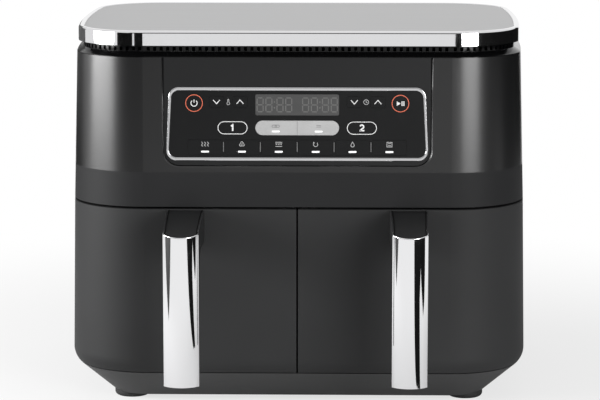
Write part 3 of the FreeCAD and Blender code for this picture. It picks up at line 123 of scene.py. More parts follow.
def use_group(tree, group, **values):
    """Place a group in a finish and set its inputs. Names are written with _ for a space."""
    node = tree.nodes.new("ShaderNodeGroup")
    node.node_tree = group
    for name, value in values.items():
        node.inputs[name.replace("_", " ")].default_value = value
    return node


print("helpers for nodes, finishes and groups")

# %% [markdown]
# ## Values that vary over a surface
# No real surface is quite even. A noise gives a value that differs from point to point, and these helpers
# lead it to a finish's tone, gloss or relief. Sums and spans on the way are small nodes.


# %% Tone, gloss and relief
def place_of(tree):
    """Where a point lies on its piece, as a socket."""
    return add_node(tree, "ShaderNodeTexCoord").outputs["Object"]


def maths(tree, operation, first, second):
    """One sum with two values or sockets, as a socket."""
    return add_node(tree, "ShaderNodeMath", {0: first, 1: second}, operation=operation).outputs["Value"]


def spread(tree, value, span=(0, 1), onto=(0, 1), **fields):
    """A value mapped from one span of numbers onto another and held inside it, as a socket."""
    ends = {"From Min": span[0], "From Max": span[1], "To Min": onto[0], "To Max": onto[1]}
    return add_node(tree, "ShaderNodeMapRange", {"Value": value, **ends}, **fields).outputs["Result"]


def shade_by(tree, shader, colour, share):
    """Scale a finish's colour by a value that varies over the surface."""
    tone = add_node(tree, "ShaderNodeVectorMath", {0: colour, "Scale": share}, operation="SCALE")
    tree.links.new(tone.outputs["Vector"], shader.inputs["Base Color"])


def mix_tones(tree, shader, first, second, share):
    """Blend a finish's colour between two tones by a value that varies over the surface."""
    tones = {"A": (*first, 1), "B": (*second, 1)}
    blend = add_node(tree, "ShaderNodeMix", {"Factor": share, **tones}, data_type="RGBA")
    tree.links.new(blend.outputs["Result"], shader.inputs["Base Color"])


def roughen_by(tree, shader, roughness, change):
    """Add a value that varies over the surface to a finish's roughness."""
    tree.links.new(maths(tree, "ADD", change, roughness), shader.inputs["Roughness"])


def emboss_by(tree, shader, height, strength, depth):
    """Bend a finish's normals by a height that varies over the surface."""
    relief = add_node(tree, "ShaderNodeBump", {"Height": height, "Strength": strength, "Distance": depth})
    tree.links.new(relief.outputs["Normal"], shader.inputs["Normal"])


print("helpers for tone, gloss and relief")

# %% [markdown]
# ## Dressing the solid model
# Each node of the solid model has material slots of its own, and a finish goes into every slot of the nodes
# that are made of it. Many parts come as a left and a right one, so a helper gives both names.


# %% Dress nodes
SIDE_NAMES = ("left", "right")


def both(part):
    """The names of a part's left and right node."""
    return [f"{part}_{side}" for side in SIDE_NAMES]


def dress(finish, *names):
    """Put one finish in every material slot of the named nodes."""
    for name in names:
        for slot in nodes[name].material_slots:
            slot.material = finish
    print(f"{finish.name}: {', '.join(names)}")


print("paired parts, such as", both("drawer_front"))

# %% [markdown]
# ## Shared effect: the grain of moulded plastic
# A moulded shell carries the fine spark-eroded grain of its mould, and its tone drifts slightly over a hand's
# width. Both could be pictures; here they are two noises in one group, so that every plastic shell takes the
# same grain at its own size. Height goes to a bump, Drift to the colour and Sheen to the roughness.


# %% Build the grain group
NOISE_SPAN = (0.3, 0.7)


def build_grain():
    group, given, made = new_group(
        "moulded_grain", {"Grain Scale": 1800.0, "Drift Scale": 9.0}, ("Height", "Drift", "Sheen"))
    place = place_of(group)
    fine = add_node(group, "ShaderNodeTexNoise",
                    {"Vector": place, "Scale": given.outputs["Grain Scale"], "Detail": 3.0, "Roughness": 0.6})
    broad = add_node(group, "ShaderNodeTexNoise",
                     {"Vector": place, "Scale": given.outputs["Drift Scale"], "Detail": 2.0})
    drift = spread(group, broad.outputs["Fac"], NOISE_SPAN, (0.9, 1.1))
    sheen = spread(group, fine.outputs["Fac"], NOISE_SPAN, (-0.03, 0.03))
    group.links.new(fine.outputs["Fac"], made.inputs["Height"])
    group.links.new(drift, made.inputs["Drift"])
    group.links.new(sheen, made.inputs["Sheen"])
    return group


grain_group = build_grain()
print("group", grain_group.name)

# %% [markdown]
# ## Shared effect: brushing
# Rolled or brushed sheet shows very long, very thin lines. Squeezing the coordinates of a noise along one
# direction stretches its blobs into such lines. The lid's plate is brushed across; the inner sheets are
# rolled along their depth, so the two directions have their own scales.


# %% Build the brushing group
def build_brushing():
    group, given, made = new_group(
        "brushed_lines", {"Across": 6.0, "Along": 900.0}, ("Height", "Lines"))
    across = given.outputs["Across"]
    along = given.outputs["Along"]
    stretch = add_node(group, "ShaderNodeCombineXYZ", {"X": across, "Y": along, "Z": along})
    squeezed = add_node(group, "ShaderNodeVectorMath",
                        {0: place_of(group), 1: stretch.outputs["Vector"]}, operation="MULTIPLY")
    lines = add_node(group, "ShaderNodeTexNoise",
                     {"Vector": squeezed.outputs["Vector"], "Scale": 1.0, "Detail": 4.0, "Roughness": 0.65})
    shade = spread(group, lines.outputs["Fac"], NOISE_SPAN, (0.93, 1.07))
    group.links.new(lines.outputs["Fac"], made.inputs["Height"])
    group.links.new(shade, made.inputs["Lines"])
    return group


brushing_group = build_brushing()
print("group", brushing_group.name)

# %% [markdown]
# ## Shared effect: smudges
# Polished parts are touched, so their gloss is never quite even. A soft noise, cut off so that most of the
# surface stays clean, gives a small rise in roughness where a finger has been.


# %% Build the smudge group
def build_smudges():
    group, given, made = new_group("smudges", {"Scale": 60.0, "Strength": 0.08}, ("Haze",))
    blobs = add_node(group, "ShaderNodeTexNoise",
                     {"Vector": place_of(group), "Scale": given.outputs["Scale"], "Detail": 5.0})
    touched = spread(group, blobs.outputs["Fac"], (0.52, 0.75))
    group.links.new(maths(group, "MULTIPLY", touched, given.outputs["Strength"]), made.inputs["Haze"])
    return group


smudge_group = build_smudges()
print("group", smudge_group.name)

# %% [markdown]
# ## Shared effect: specks
# The coating inside the bins is sprayed with fine pale specks. A cell pattern gives each speck a centre, and
# only points very near a centre count as speck.


# %% Build the speck group
def build_specks():
    group, given, made = new_group("sprayed_specks", {"Scale": 420.0, "Size": 0.16}, ("Specks",))
    cells = add_node(group, "ShaderNodeTexVoronoi",
                     {"Vector": place_of(group), "Scale": given.outputs["Scale"]})
    near = maths(group, "LESS_THAN", cells.outputs["Distance"], given.outputs["Size"])
    group.links.new(near, made.inputs["Specks"])
    return group


speck_group = build_specks()
print("group", speck_group.name)

# %% [markdown]
# ## Moulded plastics
# The shells are one family of near-black plastic that differs in tone and in how rough the mould was. One
# function builds the family from the grain group, and a short function for each shell says its own tone. The
# tones are low because most of the grey that the eye sees on a black shell is the room in its gloss.


# %% The family of moulded plastics
GRAIN_DEPTH = 0.3 * MM


def moulded_plastic(name, colour, roughness, shine=0.5, grain_scale=1800.0, bump=0.06):
    """A moulded plastic: grain in the bump, a slow drift in the tone, and a little life in the gloss."""
    material, tree, shader = new_finish(name, colour, roughness)
    shader.inputs["Specular IOR Level"].default_value = shine
    grain = use_group(tree, grain_group, Grain_Scale=grain_scale)
    shade_by(tree, shader, colour, grain.outputs["Drift"])
    roughen_by(tree, shader, roughness, grain.outputs["Sheen"])
    emboss_by(tree, shader, grain.outputs["Height"], bump, GRAIN_DEPTH)
    return material


print("one family of plastics, built on", grain_group.name)

# %% [markdown]
# ## The housing
# The housing has two textures with a level line between them, as a mould can give: matt as the drawers below,
# dark and smooth above. Two materials would need a cut through the solid, so one finish steps from the lower
# texture to the upper one, where a smooth coat lies over the plastic.


# %% The housing's two textures
FINISH_LINE = 199.2 * MM
FINISH_BLUR = 0.4 * MM
COAT_ROUGHNESS = 0.27
COAT_ABOVE = 0.75
SMOOTHER_ABOVE = -0.26
TONE_ABOVE = 0.38


def step_up(tree, below, above):
    """A value that steps from one number to another at the housing's finish line."""
    height = add_node(tree, "ShaderNodeSeparateXYZ", {"Vector": place_of(tree)}).outputs["Z"]
    return spread(tree, height, (FINISH_LINE, FINISH_LINE + FINISH_BLUR), (below, above))


def housing_plastic():
    """The housing: as matt as the drawers below its finish line, and darker with a smooth coat above it."""
    material = moulded_plastic("housing_plastic", (0.0120, 0.0122, 0.0128), 0.58, shine=0.15)
    tree = material.node_tree
    shader = tree.nodes["Principled BSDF"]
    shader.inputs["Coat Roughness"].default_value = COAT_ROUGHNESS
    tree.links.new(step_up(tree, 0.0, COAT_ABOVE), shader.inputs["Coat Weight"])
    matt_roughness = shader.inputs["Roughness"].links[0].from_socket
    roughen_by(tree, shader, matt_roughness, step_up(tree, 0.0, SMOOTHER_ABOVE))
    matt_tone = shader.inputs["Base Color"].links[0].from_socket
    shade_by(tree, shader, matt_tone, step_up(tree, 1.0, TONE_ABOVE))
    return material


dress(housing_plastic(), "housing")

# %% [markdown]
# ## The other shells
# The drawers' fronts are matt and the pan under the body is paler. The fascia, the handles and the vent band
# are darker and smoother, and the cover at the back has a coarser grain. The small and the hidden plastic
# parts share one finish, because little of them can be seen.


# %% One finish for each shell
def drawer_plastic():
    return moulded_plastic("drawer_plastic", (0.0215, 0.0218, 0.0223), 0.58, shine=0.16)


def base_plastic():
    return moulded_plastic("base_plastic", (0.0285, 0.0288, 0.0294), 0.50, shine=0.4)


def fascia_plastic():
    return moulded_plastic("fascia_plastic", (0.0048, 0.0050, 0.0054), 0.38, shine=0.3)


def handle_plastic():
    return moulded_plastic("handle_plastic", (0.0100, 0.0102, 0.0106), 0.42)


def vent_plastic():
    return moulded_plastic("vent_plastic", (0.0020, 0.0020, 0.0022), 0.14, shine=0.20)


def rear_plastic():
    return moulded_plastic("rear_plastic", (0.0150, 0.0152, 0.0160), 0.50, grain_scale=1100.0, bump=0.12)


def gland_plastic():
    return moulded_plastic("gland_plastic", (0.0080, 0.0080, 0.0085), 0.45)


dress(drawer_plastic(), *both("drawer_front"))
dress(base_plastic(), "base_pan")
dress(fascia_plastic(), "fascia")
dress(handle_plastic(), *both("handle_core"))
dress(vent_plastic(), "vent_ring")
dress(rear_plastic(), "rear_cover")
dress(gland_plastic(), "cord_gland", "drawer_switches", "display_module", *both("cooling_fan"))


# %% [markdown]
# ## Rubber
# Feet and bumpers are soft and dull. The grain is coarser than on plastic, and the roughness is high enough
# that no lamp shows as a shape.


# %% Feet and bumpers
def foot_rubber():
    return moulded_plastic("foot_rubber", (0.0080, 0.0080, 0.0082), 0.72, grain_scale=900.0, bump=0.2)


def bumper_rubber():
    return moulded_plastic("bumper_rubber", (0.0180, 0.0180, 0.0182), 0.66, grain_scale=900.0, bump=0.15)


dress(foot_rubber(), "feet")
dress(bumper_rubber(), *both("crisper_bumpers"))


# %% [markdown]
# ## The lid and the bright trims
# The lid is a satin silver plate inside a bright rim. The plate shows faint lines across it, so it takes the
# brushing group. The rim is a mirror: its look comes almost only from the lamps and cards round it, and the
# smudge group keeps it from being perfect. The handles' trims and the panel's frame are mirrors of this kind.


# %% Satin plate and mirror trims
BRUSH_DEPTH = 0.2 * MM


def lid_satin():
    """Brushed sheet: the lines go to the tone and, faintly, to the relief."""
    colour = (0.345, 0.345, 0.349)
    material, tree, shader = new_finish("lid_satin", colour, 0.34, metallic=0.85)
    lines = use_group(tree, brushing_group, Across=5.0, Along=620.0)
    shade_by(tree, shader, colour, lines.outputs["Lines"])
    emboss_by(tree, shader, lines.outputs["Height"], 0.04, BRUSH_DEPTH)
    return material


def mirror_trim(name, colour, roughness):
    """Polished metal with a few smudges."""
    material, tree, shader = new_finish(name, colour, roughness, metallic=1.0)
    haze = use_group(tree, smudge_group, Scale=70.0, Strength=0.05)
    roughen_by(tree, shader, roughness, haze.outputs["Haze"])
    return material


def rim_silver():
    return mirror_trim("rim_silver", (0.70, 0.70, 0.71), 0.05)


def handle_chrome():
    return mirror_trim("handle_chrome", (0.82, 0.82, 0.83), 0.03)


def frame_silver():
    return mirror_trim("frame_silver", (0.56, 0.56, 0.57), 0.09)


dress(lid_satin(), "lid_plate")
dress(rim_silver(), "lid_rim")
bright_chrome = handle_chrome()
dress(bright_chrome, *both("handle_trim"))
dress(frame_silver(), "panel_frame")


# %% [markdown]
# ## The control panel's overlay
# The overlay and the keys look like one printed film, so they share a finish: smoother than most shells, with
# smudges instead of a relief. The two halves of the middle bar are printed pale grey, and the window over the
# digits is a smoked grey.


# %% Overlay, keys and window
FILM_SHINE = 0.22


def film(name, colour, roughness):
    """A printed film: smudges in the gloss, and a slow drift in the tone."""
    material, tree, shader = new_finish(name, colour, roughness)
    shader.inputs["Specular IOR Level"].default_value = FILM_SHINE
    haze = use_group(tree, smudge_group, Scale=110.0, Strength=0.12)
    roughen_by(tree, shader, roughness, haze.outputs["Haze"])
    grain = use_group(tree, grain_group, Grain_Scale=2600.0, Drift_Scale=25.0)
    shade_by(tree, shader, colour, grain.outputs["Drift"])
    return material


def panel_film():
    return film("panel_film", (0.0028, 0.0030, 0.0033), 0.30)


def bar_film():
    return film("bar_film", (0.345, 0.345, 0.345), 0.40)


def smoked_window():
    return film("smoked_window", (0.054, 0.054, 0.054), 0.30)


DARK_KEYS = ["power_key", "start_key", "temp_down_key", "temp_up_key", "time_down_key", "time_up_key",
             "zone_1_key", "zone_2_key"]
FUNCTION_KEYS = [f"function_key_{i}" for i in range(1, 7)]
dress(panel_film(), "control_panel", *DARK_KEYS, *FUNCTION_KEYS)
dress(bar_film(), "sync_key", "match_key")
dress(smoked_window(), "display_window")


# %% [markdown]
# ## Inside: coated bins and plates
# Open drawers show their inside, so it is finished too. Bins and crisper plates have a dark sprayed coating
# with pale specks. The specks could be small pieces, but there are thousands, so a mix of two tones picks the
# pale one wherever the speck group says so.


# %% Sprayed coatings
def sprayed_coating(name, colour, speck_colour, roughness):
    """A dark coating with pale specks and a grain of its own."""
    material, tree, shader = new_finish(name, colour, roughness)
    specks = use_group(tree, speck_group, Scale=520.0, Size=0.15)
    mix_tones(tree, shader, colour, speck_colour, specks.outputs["Specks"])
    grain = use_group(tree, grain_group, Grain_Scale=1400.0)
    emboss_by(tree, shader, grain.outputs["Height"], 0.1, GRAIN_DEPTH)
    return material


def bin_coating():
    return sprayed_coating("bin_coating", (0.0150, 0.0150, 0.0155), (0.075, 0.075, 0.075), 0.36)


def crisper_coating():
    return sprayed_coating("crisper_coating", (0.0180, 0.0180, 0.0185), (0.085, 0.085, 0.085), 0.40)


dress(bin_coating(), *both("drawer_bin"))
dress(crisper_coating(), *both("crisper_plate"))

# %% [markdown]
# ## Inside: bare metals
# The chambers are rolled sheet, and the guards, fans, shafts, motors, sensors and screws are steel or
# aluminium. They differ in tone, in gloss and in the run of their lines, so one function makes all of them
# from the brushing group and the smudge group.


# %% Bare metals
def sheet_metal(name, colour, roughness, across, along):
    """Bare metal: rolled lines in the tone, and broad smudges in the gloss."""
    material, tree, shader = new_finish(name, colour, roughness, metallic=1.0)
    lines = use_group(tree, brushing_group, Across=across, Along=along)
    shade_by(tree, shader, colour, lines.outputs["Lines"])
    haze = use_group(tree, smudge_group, Scale=25.0, Strength=0.12)
    roughen_by(tree, shader, roughness, haze.outputs["Haze"])
    return material


def chamber_sheet():
    return sheet_metal("chamber_sheet", (0.42, 0.42, 0.43), 0.36, 700.0, 8.0)


def guard_steel():
    return sheet_metal("guard_steel", (0.50, 0.50, 0.51), 0.26, 300.0, 300.0)


def fan_aluminium():
    return sheet_metal("fan_aluminium", (0.58, 0.58, 0.59), 0.32, 200.0, 200.0)


def turned_steel():
    return sheet_metal("turned_steel", (0.46, 0.46, 0.47), 0.22, 400.0, 400.0)


def motor_metal():
    return sheet_metal("motor_metal", (0.30, 0.30, 0.31), 0.42, 250.0, 250.0)


dress(chamber_sheet(), *both("chamber"))
dress(guard_steel(), *both("fan_guard"))
dress(fan_aluminium(), *both("convection_fan"))
dress(turned_steel(), "screws", "thermal_sensors", *both("fan_shaft"))
dress(motor_metal(), *both("motor"))

# %% [markdown]
# ## Inside: heaters and boards
# Heat browns the tube of a heater in patches, so its colour is a mix of two tones by the grain group's slow
# noise. The boards are green lacquer, which is a film like the panel's.


# %% Heaters and boards
def heater_tube():
    """Steel that heat has browned in patches: the drift noise picks between two tones."""
    material, tree, shader = new_finish("heater_tube", (0.10, 0.085, 0.075), 0.42, metallic=0.9)
    grain = use_group(tree, grain_group, Grain_Scale=900.0, Drift_Scale=40.0)
    patch = spread(tree, grain.outputs["Drift"], (0.92, 1.08))
    mix_tones(tree, shader, (0.070, 0.058, 0.050), (0.160, 0.140, 0.125), patch)
    return material


def circuit_board():
    return film("circuit_board", (0.012, 0.080, 0.030), 0.35)


dress(heater_tube(), *both("heater"))
dress(circuit_board(), "control_board", "power_board")

# %% [markdown]
# ## Printed marks as thin inlays
# The marks on the panel could be painted in a shader, but then they would have no edge of their own and would
# not travel with the keys. Each mark is cut as a thin inlay instead, which rides on its own key. Its shape
# starts from a path in the panel's plane, and most paths are arcs, or pills made of two arcs.


# %% Paths for the marks
def ring_path(radius, start=0, end=360, steps=48, centre=(0, 0)):
    """Points along an arc in the panel's plane, in millimetres. A whole turn leaves out the last point."""
    count = steps if end - start == 360 else steps + 1
    turns = [math.radians(start + (end - start) * i / steps) for i in range(count)]
    return [(centre[0] + radius * math.cos(t), centre[1] + radius * math.sin(t)) for t in turns]


def pill_path(width, height, steps=12):
    """A closed pill outline, in millimetres."""
    radius = height / 2
    middle = width / 2 - radius
    right = ring_path(radius, -90, 90, steps, (middle, 0))
    left = ring_path(radius, 90, 270, steps, (-middle, 0))
    return right + left


print("a whole ring has", len(ring_path(1)), "points")

# %% [markdown]
# ## Plates and ribbons
# A filled mark is a plate with the path as its outline. A line is a flat ribbon of even width along the path,
# with mitred corners; a curve with a bevel would be a round wire, and print is flat. Both stand a twelfth of
# a millimetre proud, and are sunk a little so that no gap shows.


# %% Plates and ribbons
INLAY = 0.08 * MM
PRINT_SINK = 0.02 * MM
SHARPEST_MITRE = 0.4


def add_plate(shape, path):
    """A flat plate with the outline of a closed path, counter-clockwise as seen from the front."""
    front, back = [[shape.verts.new((x * MM, y, z * MM)) for x, z in path] for y in (-INLAY, PRINT_SINK)]
    shape.faces.new(front)
    shape.faces.new(list(reversed(back)))
    count = len(path)
    for i in range(count):
        j = (i + 1) % count
        shape.faces.new((front[i], back[i], back[j], front[j]))


def offsets(path, width, closed):
    """The left and right edges of a ribbon of even width along a path, mitred at its corners."""
    left, right = [], []
    count = len(path)
    for i, point in enumerate(path):
        here = Vector(point)
        before = Vector(path[i - 1]) if closed or i > 0 else None
        after = Vector(path[(i + 1) % count]) if closed or i < count - 1 else None
        into = (here - before).normalized() if before is not None else (after - here).normalized()
        away = (after - here).normalized() if after is not None else into
        along = (into + away).normalized()
        side = Vector((-along.y, along.x))
        reach = width / 2 / max(SHARPEST_MITRE, side.dot(Vector((-into.y, into.x))))
        left.append(here + side * reach)
        right.append(here - side * reach)
    return left, right


def add_ribbon(shape, path, width, closed=False):
    """A flat ribbon of even width along a path, as a chain of small boxes that share their corners."""
    left, right = offsets(path, width, closed)
    rows = [[shape.verts.new((point.x * MM, y, point.y * MM)) for point in edge]
            for y in (-INLAY, PRINT_SINK) for edge in (left, right)]
    left_front, right_front, left_back, right_back = rows
    count = len(path)
    for i in range(count if closed else count - 1):
        j = (i + 1) % count
        shape.faces.new((left_front[i], right_front[i], right_front[j], left_front[j]))
        shape.faces.new((left_back[j], right_back[j], right_back[i], left_back[i]))
        shape.faces.new((left_front[j], left_back[j], left_back[i], left_front[i]))
        shape.faces.new((right_front[i], right_back[i], right_back[j], right_front[j]))
    if not closed:
        shape.faces.new((left_front[0], left_back[0], right_back[0], right_front[0]))
        shape.faces.new((right_front[-1], right_back[-1], left_back[-1], left_front[-1]))


print("inlays stand", INLAY / MM, "mm proud")

# %% [markdown]
# ## Inks
# Seven inks print the panel: white for numbers, arrows and outlines, a brighter white for the lamps, grey for
# the small symbols, dark grey for the signs on the pale bar, a warm orange for the rings of the two round
# keys, and two faint greys for the unlit digits and the lines between the keys. Printed ink is matt and
# slightly uneven, so each ink takes the grain group's drift.


# %% The inks
INK_ROUGHNESS = 0.5


def ink(name, colour):
    """A matt ink with a slightly uneven tone."""
    material, tree, shader = new_finish(name, colour, INK_ROUGHNESS)
    grain = use_group(tree, grain_group, Grain_Scale=3000.0, Drift_Scale=300.0)
    shade_by(tree, shader, colour, grain.outputs["Drift"])
    return material


white_ink = ink("white_ink", (0.62, 0.62, 0.62))
lamp_ink = ink("lamp_ink", (0.85, 0.85, 0.85))
grey_ink = ink("grey_ink", (0.34, 0.34, 0.34))
dark_ink = ink("dark_ink", (0.16, 0.16, 0.16))
orange_ink = ink("orange_ink", (0.56, 0.115, 0.060))
faint_ink = ink("faint_ink", (0.092, 0.092, 0.090))
line_ink = ink("line_ink", (0.12, 0.12, 0.12))
inks = (white_ink, lamp_ink, grey_ink, dark_ink, orange_ink, faint_ink, line_ink)
print("inks", [made.name for made in inks])


# %% [markdown]
# ## Where the marks go
# A build function draws a mark round its own middle, and one helper makes a piece of it that rides on a body,
# so that it moves with its key. Every mark takes its place from the key or window that carries it, read from
# the solid model. A key's front face is the side of its box that looks at the camera.


# %% Places on the keys
def inlay(name, build, x, z, y, finish, body):
    """Make a piece with a build function, put it at (x, y, z) in metres, and let it ride on a body."""
    shape = bmesh.new()
    build(shape)
    bmesh.ops.recalc_face_normals(shape, faces=shape.faces)
    mesh = bpy.data.meshes.new(name)
    shape.to_mesh(mesh)
    shape.free()
    mesh.materials.append(finish)
    piece = new_object(name, mesh)
    piece.location = (x, y, z)
    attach(piece, body)
    return piece


def face_of(node):
    """The middle (x, z) of a node's front face and the depth y of that face, in metres."""
    low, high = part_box(node)
    return (low.x + high.x) / 2, (low.z + high.z) / 2, low.y


def mark_key(name, key, build, finish, dz=0.0):
    """An inlay on a key, shifted up from the middle of its face by millimetres."""
    x, z, y = face_of(key)
    inlay(name, build, x, z + dz * MM, y, finish, key.replace("_key", "_button"))


panel_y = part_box("control_panel")[0].y
print(f"panel face at y = {panel_y / MM:.2f} mm")


# %% [markdown]
# ## The round keys
# Both round keys wear an orange ring. The left one has the usual power symbol, an open ring with a bar; the
# right one has the play and pause signs side by side for start and stop.


# %% Rings and their symbols
RING_RADIUS = 6.85
RING_LINE = 0.6
SYMBOL_LINE = 0.65
POWER_RADIUS = 2.55
START_HALF = 1.9
BAR_HALF = 0.4


def ring_mark(shape):
    add_ribbon(shape, ring_path(RING_RADIUS), RING_LINE, closed=True)


def power_mark(shape):
    add_ribbon(shape, ring_path(POWER_RADIUS, 130, 410, 32), SYMBOL_LINE)
    add_ribbon(shape, [(0, 0.4), (0, 3.0)], SYMBOL_LINE)


def start_mark(shape):
    add_plate(shape, [(-3.0, -START_HALF), (0.1, 0.0), (-3.0, START_HALF)])
    for x in (1.3, 2.8):
        left = x - BAR_HALF
        right = x + BAR_HALF
        add_plate(shape, [(left, -START_HALF), (right, -START_HALF), (right, START_HALF), (left, START_HALF)])


for key, symbol in (("power", power_mark), ("start", start_mark)):
    mark_key(f"{key}_ring", f"{key}_key", ring_mark, orange_ink)
    mark_key(f"{key}_symbol", f"{key}_key", symbol, white_ink)
print("rings and symbols on the round keys")


# %% [markdown]
# ## Arrow keys
# Each pair of arrows changes one value. A chevron is a ribbon through three points. Between the arrows stand
# a small thermometer and a small clock, so that the pairs can be told apart without words.


# %% Chevrons, thermometer and clock
CHEVRON_HALF = 2.8
CHEVRON_RISE = 1.6
CHEVRON_LINE = 0.62
FINE_LINE = 0.45


def add_chevron(shape, tip):
    """An arrow head with its tip above the middle, or below it for a negative tip."""
    add_ribbon(shape, [(-CHEVRON_HALF, -tip), (0, tip), (CHEVRON_HALF, -tip)], CHEVRON_LINE)


def chevron_up(shape):
    add_chevron(shape, CHEVRON_RISE)


def chevron_down(shape):
    add_chevron(shape, -CHEVRON_RISE)


def thermometer(shape):
    add_ribbon(shape, ring_path(1.1, 115, 425, 24, (0, -1.3)), FINE_LINE)
    add_ribbon(shape, [(-0.47, -0.35), (-0.47, 1.7), (0, 2.2), (0.47, 1.7), (0.47, -0.35)], FINE_LINE)


def clock(shape):
    add_ribbon(shape, ring_path(2.0, steps=32), FINE_LINE, closed=True)
    add_ribbon(shape, [(0, 1.2), (0, 0), (0.95, -0.5)], FINE_LINE)


for pair, sign in (("temp", thermometer), ("time", clock)):
    mark_key(f"{pair}_down_mark", f"{pair}_down_key", chevron_down, white_ink)
    mark_key(f"{pair}_up_mark", f"{pair}_up_key", chevron_up, white_ink)
    down_x, arrow_z, _ = face_of(f"{pair}_down_key")
    up_x = face_of(f"{pair}_up_key")[0]
    inlay(f"{pair}_sign", sign, (down_x + up_x) / 2, arrow_z, panel_y, grey_ink, "body")
print("arrows and their signs")


# %% [markdown]
# ## Zone keys
# The zone keys are pills with a white outline and a plain number, one for each drawer. The numbers could be
# text objects in a typeface, but two ribbons are enough for them and need no font.


# %% Outlines and numbers
PILL_WIDTH = 23.9
PILL_HEIGHT = 10.1
PILL_LINE = 0.55
ONE_LINE = 1.25
TWO_LINE = 1.15
TWO_FOOT_LINE = 1.1


def pill_mark(shape):
    add_ribbon(shape, pill_path(PILL_WIDTH, PILL_HEIGHT), PILL_LINE, closed=True)


def number_one(shape):
    add_ribbon(shape, [(-1.3, 1.35), (0.1, 2.3), (0.1, -2.6)], ONE_LINE)


def number_two(shape):
    bend = ring_path(1.45, 165, -40, 14, (0, 1.15))
    add_ribbon(shape, bend + [(-1.55, -2.05)], TWO_LINE)
    add_ribbon(shape, [(-1.95, -2.05), (2.0, -2.05)], TWO_FOOT_LINE)


for zone, number in ((1, number_one), (2, number_two)):
    mark_key(f"zone_{zone}_outline", f"zone_{zone}_key", pill_mark, white_ink)
    mark_key(f"zone_{zone}_number", f"zone_{zone}_key", number, white_ink)
print("zone keys")


# %% [markdown]
# ## The middle bar
# Each half of the middle bar has a lamp, and a sign above it: two joined links for running both drawers
# together, an equals sign for copying one drawer's setting to the other.


# %% Lamps and signs on the bar
LAMP_WIDTH = 6.6
LAMP_HEIGHT = 1.5
PAIR_LAMP_SHIFT = -2.9
PAIR_SIGN_SHIFT = 1.4
EQUALS_LINE = 0.5


def lamp_mark(shape):
    add_plate(shape, pill_path(LAMP_WIDTH, LAMP_HEIGHT))


def links_mark(shape):
    for x in (-1.2, 1.2):
        add_ribbon(shape, [(p[0] + x, p[1]) for p in pill_path(3.6, 1.9)], FINE_LINE, closed=True)


def equals_mark(shape):
    for z in (-0.6, 0.6):
        add_ribbon(shape, [(-1.9, z), (1.9, z)], EQUALS_LINE)


for key, sign in (("sync", links_mark), ("match", equals_mark)):
    mark_key(f"{key}_lamp", f"{key}_key", lamp_mark, lamp_ink, dz=PAIR_LAMP_SHIFT)
    mark_key(f"{key}_sign", f"{key}_key", sign, dark_ink, dz=PAIR_SIGN_SHIFT)
print("middle bar")


# %% [markdown]
# ## Function keys
# Six keys along the lower edge choose how the fryer cooks, and each has a small symbol. The symbols are the
# common kitchen ones: full heat, a fan, a grill, a turn-back arrow for warming up, a drop for drying and an
# oven. All of them are lines of one width, so that they look like one set.


# %% Six symbols
SIGN_LINE = 0.5
SIGN_SHIFT = 2.75


def flame_sign(shape):
    for x in (-2.4, 0.0, 2.4):
        wave = [(x + 0.55 * math.sin(2.4 * z), z) for z in (-1.9, -1.3, -0.65, 0, 0.65, 1.3, 1.9)]
        add_ribbon(shape, wave, SIGN_LINE)


def fan_sign(shape):
    for turn in (90, 210, 330):
        tip = math.radians(turn)
        centre = (1.15 * math.cos(tip), 1.15 * math.sin(tip))
        add_ribbon(shape, ring_path(0.95, turn, turn + 360, 16, centre), SIGN_LINE, closed=True)


def grill_sign(shape):
    add_ribbon(shape, [(-2.8, 1.7), (2.8, 1.7)], SIGN_LINE)
    for x in (-1.9, 0.0, 1.9):
        add_ribbon(shape, [(x - 0.7, 0.7), (x, -0.2), (x + 0.7, 0.7)], SIGN_LINE)
    add_ribbon(shape, [(-2.8, -1.7), (2.8, -1.7)], SIGN_LINE)


def turn_back_sign(shape):
    add_ribbon(shape, ring_path(1.75, 130, 410, 28), SIGN_LINE)
    add_plate(shape, [(-2.35, 0.75), (-0.45, 0.9), (-1.6, 2.35)])


def drop_sign(shape):
    drop = ring_path(1.35, 150, 390, 20, (0, -0.65))
    add_ribbon(shape, drop + [(0, 2.1)], SIGN_LINE, closed=True)


def oven_sign(shape):
    add_ribbon(shape, [(-2.1, -1.9), (2.1, -1.9), (2.1, 1.9), (-2.1, 1.9)], SIGN_LINE, closed=True)
    for z in (-0.85, 0.85):
        add_ribbon(shape, [(-1.2, z), (1.2, z)], SIGN_LINE)


signs = (flame_sign, fan_sign, grill_sign, turn_back_sign, drop_sign, oven_sign)
for key, sign in zip(FUNCTION_KEYS, signs):
    mark_key(f"function_sign_{key[-1]}", key, sign, grey_ink, dz=SIGN_SHIFT)
print(len(signs), "symbols on the function keys")


# %% [markdown]
# ## Lamps and lines of the function keys
# Under each symbol is a lamp like those of the middle bar, and a thin line divides neighbours. A line belongs
# to no key, so it rides on the body, halfway between two keys.


# %% Lamps and dividing lines
LAMP_SHIFT = -3.4
DIVIDER_HALF = 4.0
DIVIDER_LINE = 0.6
DIVIDER_SHIFT = 0.5


def divider(shape):
    add_ribbon(shape, [(0, -DIVIDER_HALF), (0, DIVIDER_HALF)], DIVIDER_LINE)


for key in FUNCTION_KEYS:
    mark_key(f"function_lamp_{key[-1]}", key, lamp_mark, lamp_ink, dz=LAMP_SHIFT)
for number in range(1, 6):
    left_x, key_z, _ = face_of(f"function_key_{number}")
    right_x = face_of(f"function_key_{number + 1}")[0]
    inlay(f"divider_{number}", divider, (left_x + right_x) / 2, key_z + DIVIDER_SHIFT * MM, panel_y, line_ink,
          "body")
print("lamps and lines of the function keys")


# %% [markdown]
# ## The unlit digits
# On a real panel the unlit segments show through the smoked window as a slightly paler grey. Here they are
# inlays on the window's face. Every digit is the same seven bars, so one function draws a digit from short
# ribbons, and a loop sets out both groups of four with a colon between the pairs.


